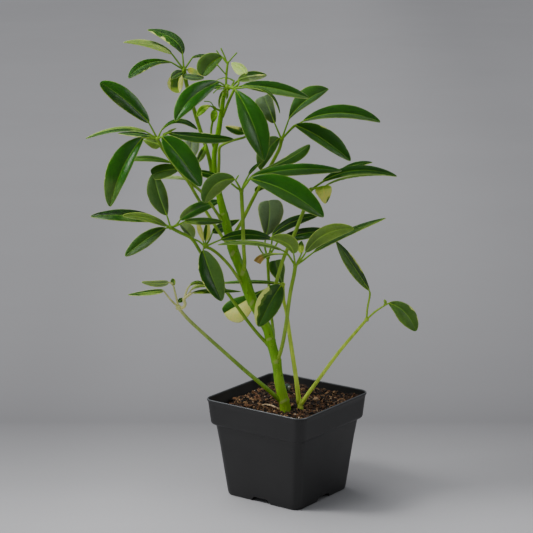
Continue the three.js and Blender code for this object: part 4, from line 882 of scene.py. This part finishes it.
def blade_material():
    vein_gap = 4.6
    vein_slant = 0.85
    m = Paint("leaf_blade")
    along, side, under = m.parts(m.attribute("place", "Vector"))
    run, side_mm, glossy = m.parts(m.attribute("size", "Vector"))
    tint = m.attribute("tint", "Color")
    cream = m.attribute("mark")
    out_share = m.math("ABSOLUTE", side)
    across = m.math("ABSOLUTE", side_mm)
    # broad and fine changes of green
    fine = m.noise(620.0, 4.0)
    lighter = m.scaled(tint, 1.6, 1.45, 1.2)
    m.colour = tint
    m.lay(m.step(m.noise(60.0, 2.0), 0.35, 0.65, 0.0, 0.4), lighter)
    m.lay(m.step(fine, 0.42, 0.75, 0.0, 0.3), m.scaled(tint, 0.5, 0.55, 0.5))
    # side veins run forward from the midrib
    forward = m.plus(m.minus(run, m.times(across, vein_slant)), m.times(m.noise(150.0, 2.0), 5.0))
    phase = m.math("FRACT", m.math("DIVIDE", forward, vein_gap))
    vein = m.step(m.math("ABSOLUTE", m.minus(phase, 0.5)), 0.0, 0.09, 1.0, 0.0)
    vein = m.times(vein, m.step(out_share, 0.4, 0.95, 1.0, 0.0))
    m.lay(m.times(vein, m.plus(0.16, m.times(under, 0.12))), lighter)
    # pale edge, with a mid-green zone inside it
    ragged = m.times(m.minus(m.noise(330.0, 3.0), 0.5), m.plus(0.04, m.times(cream, 0.7)))
    edge = m.plus(out_share, ragged)
    has_cream = m.step(cream, 0.02, 0.06)
    for reach, soft, share, pale in ((1.7, 0.03, 0.45, colour(122, 156, 56)), (1.0, 0.02, 0.85, CREAM)):
        past = m.minus(edge, m.minus(1.0, m.times(cream, reach)))
        m.lay(m.times(m.times(m.step(past, -soft, soft), has_cream), share), pale)
    # thin paler line along every blade's rim, and the midrib
    edge_gap = m.minus(m.math("DIVIDE", across, m.math("MAXIMUM", out_share, 0.05)), across)
    rim = m.times(m.step(edge_gap, 0.25, 0.75, 1.0, 0.0), m.step(m.noise(130.0, 2.0), 0.35, 0.6, 0.3, 1.0))
    m.lay(m.times(rim, 0.7), m.mix(0.6, lighter, colour(180, 200, 96)))
    rib = m.times(m.step(across, 0.25, 0.7, 1.0, 0.0), m.step(along, 0.3, 1.0, 0.85, 0.25))
    m.lay(rib, m.mix(0.5, m.scaled(tint, 2.2, 2.0, 1.6), colour(140, 180, 66)))
    uneven = m.step(m.noise(240.0, 3.0), 0.3, 0.75, -0.04, 0.06)
    m.shade("Roughness", m.plus(m.minus(0.56, m.times(glossy, 0.24)), uneven))
    # little shine where a blade is seen at a low angle
    facing = m.node("ShaderNodeLayerWeight", Blend=0.5).outputs["Facing"]
    level = m.plus(0.07, m.times(glossy, 0.16))
    m.shade("Specular IOR Level", m.times(level, m.step(facing, 0.35, 0.8, 1.0, 0.05)))
    # thin tissue lets light through
    m.shade("Subsurface Weight", 1.0)
    m.shade("Subsurface Radius", (1.0, 1.0, 0.6))
    m.shade("Subsurface Scale", 0.0015)
    vein_height = m.times(vein, m.minus(m.times(under, 2.0), 1.0))
    m.shade("Normal", m.bump(vein_height, 0.00010, 0.35, m.bump(fine, 0.00010, 0.25)))
    return m.material


def stalk_material(name, patches):
    m = Paint(name)
    tint = m.attribute("tint", "Color")
    stretched = m.node("ShaderNodeMapping", Vector=m.position, Scale=(1.0, 1.0, 0.1)).outputs[0]
    streaks = m.noise(800.0, 3.0, vector=stretched)
    blotches = m.noise(85.0, 3.0)
    fine = m.noise(1500.0, 3.0)
    m.colour = tint
    m.lay(m.step(blotches, 0.4, 0.7, 0.0, 0.45), m.scaled(tint, 0.5, 0.6, 0.4))
    m.lay(m.step(streaks, 0.5, 0.72, 0.0, 0.5), m.scaled(tint, 1.45, 1.3, 1.7))
    m.lay(m.step(streaks, 0.48, 0.3, 0.0, 0.45), m.scaled(tint, 0.5, 0.58, 0.4))
    if patches:
        m.lay(m.dots(330.0, 0.1, 0.2, 0.6), colour(160, 172, 90))
        m.lay(m.dots(190.0, 0.06, 0.14, 0.75), colour(70, 58, 26))
    # pale marks from the mark attribute: scars, and on the main stem one painted highlight
    ragged = m.plus(m.attribute("mark"), m.times(m.minus(fine, 0.5), 0.6))
    m.lay(m.step(ragged, 0.25, 0.95, 0.0, 0.7), colour(176, 190, 104))
    m.shade("Roughness", m.step(blotches, 0.3, 0.7, 0.34, 0.5))
    m.shade("Specular IOR Level", 0.25)
    m.shade("Normal", m.bump(m.plus(streaks, fine), 0.00014, 0.55))
    return m.material


def pot_material():
    m = Paint("black_plastic")
    x, y, height = m.parts(m.position)
    cloudy = m.noise(28.0, 4.0)
    grain = m.noise(1700.0, 3.0)
    m.colour = colour(25, 25, 25)
    m.lay(m.step(cloudy, 0.35, 0.7), colour(34, 34, 34))
    m.lay(m.step(grain, 0.5, 0.8, 0.0, 0.25), colour(54, 54, 55))
    # painted shade: the rounded corners are painted darker than the sides, standing in for the shade
    # between two lit faces
    reach = [m.math("ABSOLUTE", x), m.math("ABSOLUTE", y)]
    ratio = m.math("DIVIDE", m.math("MINIMUM", *reach), m.math("MAXIMUM", *reach))
    m.lay(m.times(m.step(ratio, 0.84, 0.94), 0.8), colour(8, 8, 8))
    # painted highlight: a pale band round the top of the lip stands in for the light's shine on its rounded
    # edge; its roughness is lower too
    lip = m.step(height, 0.0846, 0.0853)
    m.lay(m.times(lip, 0.8), colour(92, 95, 99))
    m.shade("Roughness", m.minus(m.step(cloudy, 0.3, 0.7, 0.40, 0.50), m.times(lip, 0.12)))
    m.shade("Normal", m.bump(grain, 0.00008, 0.35, m.bump(cloudy, 0.0006, 0.25)))
    return m.material


def soil_material(name, roughness):
    m = Paint(name)
    tint = m.attribute("tint", "Color")
    coarse = m.noise(420.0, 5.0, 0.65)
    fine = m.noise(2600.0, 3.0, 0.6)
    m.colour = tint
    m.lay(m.step(coarse, 0.35, 0.7, 0.0, 0.75), m.scaled(tint, 0.2, 0.2, 0.2))
    m.lay(m.step(fine, 0.52, 0.75, 0.0, 0.6), m.scaled(tint, 2.8, 2.6, 2.3))
    m.shade("Roughness", m.step(coarse, 0.3, 0.7, roughness, 1.0))
    m.shade("Normal", m.bump(m.plus(coarse, m.times(fine, 0.4)), 0.0007, 0.8))
    return m.material


def bead_material():
    m = Paint("dark_bead")
    swirl = m.noise(420.0, 4.0)
    m.colour = colour(30, 50, 40)
    m.lay(m.step(swirl, 0.35, 0.7), colour(66, 92, 74))
    # painted highlight: the side of the bead facing +x is painted pale, like a reflection of a light there
    painted_highlight_facing = m.parts(m.node("ShaderNodeNewGeometry").outputs["Normal"])[0]
    m.lay(m.step(painted_highlight_facing, 0.55, 0.95, 0.0, 0.7), colour(190, 200, 170))
    m.shade("Roughness", m.step(swirl, 0.3, 0.7, 0.1, 0.2))
    m.shade("Coat Weight", 0.6)
    m.shade("Coat Roughness", 0.06)
    return m.material


# Grey of the floor's paint by distance behind the pot's axis, in metres. It is painted light and shade:
# lightest in front of the pot, darkest in a band about 0.19 m behind its axis like the shade where a
# wall meets the floor, and lighter again further back.
FLOOR_PAINTED_LIGHT_AND_SHADE = [
    (-0.30, 208), (-0.084, 201), (-0.024, 191), (0.027, 178), (0.081, 166), (0.138, 153), (0.170, 144),
    (0.188, 141), (0.194, 136), (0.230, 141), (0.296, 147), (0.441, 155), (0.649, 164), (0.898, 172),
    (1.20, 178), (1.57, 182), (2.04, 182), (2.66, 179), (3.41, 174),
]


def floor_material():
    m = Paint("grey_floor")
    x, y, _ = m.parts(m.position)
    first, last = FLOOR_PAINTED_LIGHT_AND_SHADE[0][0], FLOOR_PAINTED_LIGHT_AND_SHADE[-1][0]
    far = m.node("ShaderNodeMapRange")
    for socket, value in zip(far.inputs, (y, first, last)):
        m.feed(socket, value)
    ramp = m.node("ShaderNodeValToRGB", Fac=far.outputs[0])
    stops = ramp.color_ramp.elements
    while len(stops) < len(FLOOR_PAINTED_LIGHT_AND_SHADE):
        stops.new(0.5)
    for stop, (distance, grey) in zip(stops, FLOOR_PAINTED_LIGHT_AND_SHADE):
        stop.position = (distance - first) / (last - first)
        stop.color = colour(grey, grey - 0.6, grey + 2.2)
    cloudy = m.noise(3.0, 3.0)
    m.colour = ramp.outputs[0]
    # painted shade: the floor is painted darker towards both sides, more on the right
    m.lay(m.plus(m.step(x, 0.1, 0.42, 0.0, 0.26), m.step(x, -0.12, -0.26, 0.0, 0.15)), colour(84, 84, 87))
    m.lay(m.step(cloudy, 0.3, 0.7, 0.0, 0.06), colour(120, 120, 124))
    m.lay(m.step(m.noise(320.0, 3.0), 0.5, 0.8, 0.0, 0.05), colour(100, 100, 104))
    m.shade("Roughness", m.step(cloudy, 0.3, 0.7, 0.75, 0.9))
    m.shade("Specular IOR Level", 0.2)
    return m.material


# ---- Pot ----
def ring_of_square(side, corner, level, per_corner=9):
    """Points around a rounded square whose sides run along the pot's own axes."""
    ring = []
    inner = side / 2 - corner
    for quarter, (x_sign, y_sign) in enumerate(((1, 1), (-1, 1), (-1, -1), (1, -1))):
        for i in range(per_corner):
            angle = math.pi / 2 * (quarter + i / (per_corner - 1))
            ring.append(UNTURN @ Vector((x_sign * inner + corner * math.cos(angle),
                                         y_sign * inner + corner * math.sin(angle), level)))
    return ring


def make_pot():
    band = POT_HEIGHT - BAND_HEIGHT
    lip = POT_HEIGHT - LIP_HEIGHT
    # side, corner radius and height: up the outside, over the lip and down the inside
    levels = [
        (BASE_SIDE - 3.4, BASE_CORNER - 1, 0.0),
        (BASE_SIDE - 1.6, BASE_CORNER - 0.5, 0.35),
        (BASE_SIDE - 0.4, BASE_CORNER, 1.3),
        (BASE_SIDE + 0.7, BASE_CORNER, 5.0),
        (BODY_TOP_SIDE - 4.4, RIM_CORNER - 1, band - 20.0),
        (BODY_TOP_SIDE, RIM_CORNER - 1, band - 3.2),
        (BODY_TOP_SIDE + 0.5, RIM_CORNER - 1, band - 2.6),
        (BAND_BOTTOM_SIDE - 2.4, RIM_CORNER - 0.4, band - 2.2),
        (BAND_BOTTOM_SIDE - 0.7, RIM_CORNER, band - 1.4),
        (BAND_BOTTOM_SIDE, RIM_CORNER, band - 0.2),
        (BAND_BOTTOM_SIDE + 0.2, RIM_CORNER, band + 1.4),
        (RIM_SIDE - 1.9, RIM_CORNER, lip - 4.0),
        (RIM_SIDE - 1.2, RIM_CORNER, lip - 0.5),
        (RIM_SIDE - 0.2, RIM_CORNER, lip),
        (RIM_SIDE, RIM_CORNER, POT_HEIGHT - 1.0),
        (RIM_SIDE - 0.3, RIM_CORNER, POT_HEIGHT - 0.3),
        (RIM_SIDE - 1.0, RIM_CORNER - 0.4, POT_HEIGHT),
        (RIM_SIDE - 2.2, RIM_CORNER - 1.1, POT_HEIGHT),
        (RIM_SIDE - 2.8, RIM_CORNER - 1.4, POT_HEIGHT - 0.4),
        (RIM_SIDE - 3.2, RIM_CORNER - 1.6, POT_HEIGHT - 1.4),
        (BAND_BOTTOM_SIDE - 3.4, RIM_CORNER - 1.5, band + 2.0),
        (BODY_TOP_SIDE - 3.4, RIM_CORNER - 2.5, band - 4.0),
        (BASE_SIDE - 2.6, BASE_CORNER - 1.5, FLOOR),
    ]
    skin = Skin()
    black = colour(36, 36, 38)
    rings = [[skin.add(p, black) for p in ring_of_square(*level)] for level in levels]
    skin.bridge(rings)
    skin.fan(rings[0], skin.add(Vector((0, 0, 0)), black), True)
    skin.fan(rings[-1], skin.add(Vector((0, 0, FLOOR)), black), False)
    pot = skin.piece("pot_shell", pot_material(), "pot", "pot")
    cut_notches(pot)
    pot.data.set_sharp_from_angle(angle=SHARP_EDGE)


def cut_notches(pot):
    """Cut a drain notch into the middle of each bottom edge."""
    half = [(NOTCH_HALF_WIDTH, -1.0), (NOTCH_HALF_WIDTH, NOTCH_STEP), (NOTCH_TOP_HALF_WIDTH, NOTCH_HEIGHT)]
    outline = [(-NOTCH_HALF_WIDTH, -1.0), *half] + [(-x, z) for x, z in half[:0:-1]]
    points = []
    faces = []
    count = len(outline)
    for quarter in range(4):
        spin = Matrix.Rotation(math.pi / 2 * quarter, 3, "Z")
        first = len(points)
        for depth in (BASE_SIDE / 2 + 5, BASE_SIDE / 2 - NOTCH_DEPTH):
            points += [spin @ Vector((depth, x, z)) * MM for x, z in outline]
        faces.append(tuple(range(first, first + count)))
        faces.append(tuple(reversed(range(first + count, first + 2 * count))))
        for k in range(count):
            j = (k + 1) % count
            faces.append((first + j, first + k, first + count + k, first + count + j))
    mesh = bpy.data.meshes.new("notch_cut")
    mesh.from_pydata(points, [], faces)
    cutter = bpy.data.objects.new("notch_cut", mesh)
    bpy.context.collection.objects.link(cutter)
    cut = pot.modifiers.new("notches", "BOOLEAN")
    cut.operation = "DIFFERENCE"
    cut.solver = "EXACT"
    cut.object = cutter
    shaped = bpy.data.meshes.new_from_object(pot.evaluated_get(bpy.context.evaluated_depsgraph_get()))
    pot.modifiers.clear()
    pot.data = shaped
    bpy.data.objects.remove(cutter)


# ---- Soil ----
def soil_height(x, y):
    return SOIL_LEVEL + x * SOIL_RISE_RIGHT + y * SOIL_RISE_BACK


def soil_top(x, y):
    rough = (2.0 * noise.noise(Vector((x * 0.09, y * 0.09, 3.0)))
             + 1.1 * noise.noise(Vector((x * 0.3, y * 0.3, 7.0)))
             + 0.5 * noise.noise(Vector((x * 0.9, y * 0.9, 11.0))))
    heap = HEAP_HEIGHT * math.exp(-(((x - HEAP_X) ** 2 + (y - HEAP_Y) ** 2) / HEAP_RADIUS ** 2))
    return soil_height(x, y) + rough + heap


def on_soil(spot):
    """Where a picture position (column, row) meets the soil's even surface."""
    fall = 0.31  # millimetres that the sight line drops for each one away from the viewer
    near = 0.0
    for _ in range(12):
        point = seen((*spot, near))
        near -= (point.z - soil_height(point.x, point.y)) / fall
    return seen((*spot, near))


def somewhere(limit):
    """A random place on the soil that keeps clear of the pot's rounded corners."""
    while True:
        x, y = random.uniform(-limit, limit), random.uniform(-limit, limit)
        over_x, over_y = abs(x) - limit + RIM_CORNER, abs(y) - limit + RIM_CORNER
        if over_x < 0 or over_y < 0 or math.hypot(over_x, over_y) < RIM_CORNER:
            return UNTURN @ Vector((x, y, 0))


def add_bit(skin, centre, half_sizes, tint, sides=5):
    """One angular crumb: a short twisted prism with uneven corners."""
    spin = (Matrix.Rotation(random.uniform(0, 6.28), 3, "Z")
            @ Matrix.Rotation(random.uniform(-0.7, 0.7), 3, "X"))
    wide, deep, tall = half_sizes
    rings = []
    for level, grow in ((-1.0, 0.55), (-0.35, 1.0), (0.4, 0.9), (1.0, 0.45)):
        ring = []
        for k in range(sides):
            angle = 2 * math.pi * k / sides
            stretch = grow * random.uniform(0.5, 1.3)
            local = Vector((math.cos(angle) * wide * stretch, math.sin(angle) * deep * stretch,
                            level * tall))
            ring.append(skin.add(centre + spin @ local, tint))
        rings.append(ring)
    skin.bridge(rings)
    skin.faces.append(tuple(reversed(rings[0])))
    skin.faces.append(tuple(rings[-1]))


PEAT = colour(26, 18, 13)
PEAT_BROWN = colour(70, 50, 34)
BARK_TINTS = (colour(66, 42, 27), colour(104, 70, 44), colour(38, 25, 17), colour(172, 132, 92),
              colour(20, 13, 9), colour(132, 90, 58), colour(30, 20, 14))
PALE_TINTS = (colour(196, 174, 146), colour(150, 118, 84))
FIBRE_TINTS = (colour(140, 98, 62), colour(96, 62, 38), colour(186, 150, 108))
WOOD = colour(186, 154, 120)
WHITISH = colour(222, 208, 184)
# Pieces on the soil: column and row, half sizes, colour.
CHIPS = [
    ((316.5, 401), (3.8, 2.4, 1.6), colour(172, 140, 108)),
    ((255, 391.5), (1.0, 0.8, 0.7), WHITISH),
    ((265, 397.5), (0.9, 0.7, 0.7), WHITISH),
    ((295, 415.5), (1.3, 0.9, 0.8), WHITISH),
    ((299, 418.5), (1.2, 0.8, 0.7), WHITISH),
    ((317, 412), (1.2, 0.7, 0.7), WHITISH),
    ((343, 397.5), (2.6, 1.0, 0.8), WOOD),
    ((276, 413), (1.4, 0.8, 0.7), WOOD),
    ((331, 399.5), (2.4, 1.1, 0.8), WOOD),
]
# Each stick: its spots as column, row and height over the soil, then its width and colour.
STICKS = [
    ([(261, 407, 1.0), (266, 406.4, 1.4), (272, 407.4, 1.4), (278.6, 410.4, 1.0)], 1.8,
     colour(226, 198, 158)),
    ([(254, 398, 0.6), (257, 402, 0.6)], 0.9, WOOD),
    ([(333, 404, 0.6), (341, 400, 0.6)], 0.9, WOOD),
    ([(353, 399, 0.0), (353.6, 399, 2.5), (354.4, 399, 5.0)], 1.6, colour(110, 72, 46)),
]


def make_soil_bed(reach):
    """The soil's uneven surface, with its side and underside inside the pot."""
    bed = Skin()
    corner = SOIL_CORNER
    last = SOIL_GRID
    grid = []
    for i in range(last + 1):
        row = []
        for k in range(last + 1):
            x, y = -reach + 2 * reach * i / last, -reach + 2 * reach * k / last
            shade = 0.5 + 0.5 * noise.noise(Vector((x * 0.5, y * 0.5, 20)))
            over_x, over_y = abs(x) - reach + corner, abs(y) - reach + corner
            if over_x > 0 and over_y > 0:
                # draw the square's corners in to the pot's rounded ones
                pull = max(over_x, over_y) / math.hypot(over_x, over_y)
                x = math.copysign(reach - corner + over_x * pull, x)
                y = math.copysign(reach - corner + over_y * pull, y)
            local = UNTURN @ Vector((x, y, 0))
            local.z = soil_top(local.x, local.y)
            row.append(bed.add(local, mixed(PEAT, PEAT_BROWN, shade)))
        grid.append(row)
    for i in range(last):
        for k in range(last):
            bed.faces.append((grid[i][k], grid[i + 1][k], grid[i + 1][k + 1], grid[i][k + 1]))
    rim = ([grid[i][0] for i in range(last)] + [grid[last][k] for k in range(last)]
           + [grid[i][last] for i in range(last, 0, -1)] + [grid[0][k] for k in range(last, 0, -1)])
    bottom = POT_HEIGHT - BAND_HEIGHT
    shrink = SOIL_BOTTOM_SIDE / (2 * reach)
    floor = []
    for index in rim:
        point = bed.points[index]
        floor.append(bed.add(Vector((point.x * shrink, point.y * shrink, bottom)), PEAT))
    bed.bridge([floor, rim])
    bed.fan(floor, bed.add(Vector((0, 0, bottom)), PEAT), True)
    bed.piece("soil_bed", soil_material("peat", 0.85), "soil", "soil")


def add_fibre(skin, limit):
    """A thin crooked fibre somewhere on the soil."""
    local = somewhere(limit)
    way = []
    heading = random.uniform(0, 6.28)
    for _ in range(4):
        above = soil_top(local.x, local.y) + random.uniform(0.6, 1.8)
        way.append((Vector((local.x, local.y, above)), FIBRE_WIDTH))
        heading += random.uniform(-0.6, 0.6)
        local = local + Vector((math.cos(heading), math.sin(heading), 0)) * random.uniform(0.8, 2.0)
    tint = random.choice(FIBRE_TINTS)
    add_stalk(skin, way, 5, lambda share: tint, steps=2)


def make_soil():
    reach = RIM_SIDE / 2 - SOIL_INSET
    limit = reach - BITS_INSET
    make_soil_bed(reach)
    bark = Skin()
    for _ in range(BARK_BITS):
        size = random.choice(BARK_SIZES)
        local = somewhere(limit - size)
        local.z = soil_top(local.x, local.y) + size * random.uniform(0.0, 0.45)
        half_sizes = [size * random.uniform(low, high)
                      for low, high in ((0.8, 1.7), (0.5, 1.0), (0.4, 0.75))]
        add_bit(bark, local, half_sizes, random.choice(BARK_TINTS))
    bark.piece("soil_bark", soil_material("bark", 0.7), "soil", "soil", False)

    pale = Skin()
    for _ in range(PALE_BITS):
        local = somewhere(limit)
        size = random.uniform(0.4, 0.9)
        local.z = soil_top(local.x, local.y) + size * 0.5
        add_bit(pale, local, (size, size * 0.8, size * 0.7), random.choice(PALE_TINTS))
    for spot, half_sizes, tint in CHIPS:
        add_bit(pale, on_soil(spot) + Vector((0, 0, half_sizes[2])), half_sizes, tint)
    for _ in range(FIBRES):
        add_fibre(pale, limit - 4)
    for spots, width, tint in STICKS:
        way = [(on_soil(spot[:2]) + Vector((0, 0, spot[2])), width) for spot in spots]
        add_stalk(pale, way, 8, lambda share, tint=tint: tint, steps=3)
    pale.piece("soil_pale_bits", soil_material("pale_wood", 0.7), "soil", "soil")


def make_bead():
    skin = Skin()
    add_knuckle(skin, seen(BEAD_SPOT), BEAD_RADIUS, colour(30, 60, 52), 5.0)
    skin.piece("soil_bead", bead_material(), "bead", "bead")


# ---- Stems and leaves ----
# Picture rows of the thicker places where a leaf grew.
NODE_ROWS = (401, 361, 341, 302, 283, 256, 247, 236, 214, 172, 117)
NODE_SWELL = 0.07
NODE_REACH_PX = 1.1
# Pale marks on the stem: scars, and at rows 252 to 255 a painted highlight. From and to (column, row),
# radius.
SCAR_AND_HIGHLIGHT_MARKS = [
    ((280.5, 403), (286.5, 399.5), 1.7),
    ((275.6, 362), (276.4, 361.4), 2.2),
    ((264.5, 341), (270.5, 338.6), 1.5),
    ((248.5, 308), (253, 301), 1.8),
    ((242, 274), (244, 268), 2.4),
    # painted highlight on the node, not a scar
    ((231.5, 255), (233.5, 252), 1.9),
    ((222, 214.5), (223.5, 213.8), 1.5),
]


def stem_way(stem):
    return [(seen(station[:3]), station[3]) for station in stem]


def make_stem():
    skin = Skin()
    rows = [s[1] for s in MAIN_STEM]
    foot_tint = colour(176, 222, 60)
    stem_tint = colour(124, 184, 14)
    scar_and_highlight_spans = []
    for first, second, radius in SCAR_AND_HIGHLIGHT_MARKS:
        nearest = min(MAIN_STEM, key=lambda s: abs(s[1] - first[1]))
        front = nearest[2] + nearest[3] * 0.45
        scar_and_highlight_spans.append((seen((*first, front)), seen((*second, front)), radius))

    def radius_at(centre, out, station, run):
        i = min(int(station), len(rows) - 2)
        row = rows[i] + (rows[i + 1] - rows[i]) * (station - i)
        swell = sum(NODE_SWELL * math.exp(-((row - node) / NODE_REACH_PX) ** 2) for node in NODE_ROWS)
        return 1.0 + swell + 0.035 * noise.noise(centre * 0.16 + out * 0.8)

    def mark_at(point, station):
        total = 0.0
        for first, second, radius in scar_and_highlight_spans:
            span = second - first
            share = min(max((point - first).dot(span) / span.length_squared, 0.0), 1.0)
            total += math.exp(-((point - first - span * share).length / radius) ** 2)
        return min(total, 1.0)

    add_stalk(skin, stem_way(MAIN_STEM), STEM_SIDES,
              lambda share: mixed(foot_tint, stem_tint, min(share * 4, 1.0)),
              steps=9, radius_at=radius_at, mark_at=mark_at)
    skin.piece("main_stem_bark", stalk_material("green_bark", True), "main_stem", "stem")


def make_leaves():
    blade = blade_material()
    stalk = stalk_material("green_stalk", False)
    for number, (name, leaf) in enumerate(LEAVES.items()):
        blades = Skin()
        stalks = Skin()
        add_compound_leaf(name, leaf, blades, stalks, MAIN_SEED + number * LEAF_SEED_STEP)
        blades.piece(name + "_blades", blade, name, "leaf")
        stalks.piece(name + "_stalks", stalk, name, "leaf")
    blades = Skin()
    stalks = Skin()
    add_stalk(stalks, stem_way(SIDE_STEM), SIDE_STEM_SIDES, lambda share: STALK_LIGHT, steps=6,
              radius_at=lambda centre, out, station, run: 1.0 + 0.06 * math.sin(run * 1.3),
              mark_at=lambda point, station: 0.5 if station > 1.4 else 0.0)
    for number, (name, leaf) in enumerate(SIDE_LEAVES.items()):
        add_compound_leaf(name, leaf, blades, stalks, SIDE_SEED + number * LEAF_SEED_STEP)
    blades.piece("side_shoot_blades", blade, "side_shoot", "leaf")
    stalks.piece("side_shoot_stalks", stalk, "side_shoot", "leaf")


# ---- Floor, light and camera ----
FLOOR_REACH = 9.0
FLOOR_GRID = 48
SUN_STRENGTH = 1.75
SUN_SPREAD = math.radians(62)
AIR_TONE = (0.78, 0.8, 0.83, 1.0)
AIR_STRENGTH = 0.34


def put_in(name, data):
    item = bpy.data.objects.new(name, data)
    bpy.context.collection.objects.link(item)
    return item


def make_stage():
    """A plain floor on every side. Its paint has painted light and shade: lighter in front than behind the
    pot, and darker towards the sides.
    """
    line = [FLOOR_REACH * (2 * i / FLOOR_GRID - 1) for i in range(FLOOR_GRID + 1)]
    points = [(x, y, 0.0) for x in line for y in line]
    faces = []
    for i in range(FLOOR_GRID):
        for k in range(FLOOR_GRID):
            corner = i * (FLOOR_GRID + 1) + k
            faces.append((corner, corner + FLOOR_GRID + 1, corner + FLOOR_GRID + 2, corner + 1))
    mesh = bpy.data.meshes.new("studio_floor")
    mesh.from_pydata(points, [], faces)
    mesh.materials.append(floor_material())
    floor = put_in("studio_floor", mesh)
    floor.rotation_euler = (0.0, 0.0, POT_TURN)


def add_softbox(name, spot, target, side, watts, tone):
    light = bpy.data.lights.new(name, "AREA")
    light.shape = "RECTANGLE"
    light.size = side
    light.size_y = side
    light.energy = watts
    light.color = tone
    lamp = put_in(name, light)
    lamp.location = TURN @ Vector(spot)
    way = TURN @ Vector(target) - lamp.location
    lamp.rotation_euler = way.to_track_quat("-Z", "Y").to_euler()
    return lamp


def make_lights():
    sun = bpy.data.lights.new("soft_sun", "SUN")
    sun.energy = SUN_STRENGTH
    sun.angle = SUN_SPREAD
    lamp = put_in("soft_sun", sun)
    lamp.rotation_euler = (TURN @ Vector((0.75, -0.22, -1.4))).to_track_quat("-Z", "Y").to_euler()
    lamp.visible_glossy = False
    add_softbox("softbox", (-0.9, -0.14, 1.15), (0, 0, 0.22), 0.32, 8.5, (1.0, 1.0, 0.99))
    # a second softbox on the right that only adds shine
    shine = add_softbox("side_softbox", (1.0, -0.25, 1.0), (0, 0, 0.25), 0.8, 8.0, (0.97, 1.0, 1.0))
    shine.visible_diffuse = False
    world = bpy.data.worlds.new("studio_air")
    world.use_nodes = True
    air = world.node_tree.nodes["Background"]
    air.inputs["Color"].default_value = AIR_TONE
    air.inputs["Strength"].default_value = AIR_STRENGTH
    bpy.context.scene.world = world


def make_camera():
    lens = bpy.data.cameras.new("view")
    lens.sensor_fit = "HORIZONTAL"
    lens.sensor_width = SENSOR_MM
    lens.lens = VIEW_FOCAL_PX / PICTURE_PX * SENSOR_MM
    lens.clip_end = 50.0
    camera = put_in("view", lens)
    camera.location = TURN @ Vector((VIEW_SIDE, -VIEW_DISTANCE, VIEW_HEIGHT)) * MM
    camera.rotation_euler = (math.pi / 2 - VIEW_PITCH, 0.0, POT_TURN)
    bpy.context.scene.camera = camera


make_camera()
make_stage()
make_lights()
make_pot()
make_soil()
make_bead()
make_stem()
make_leaves()
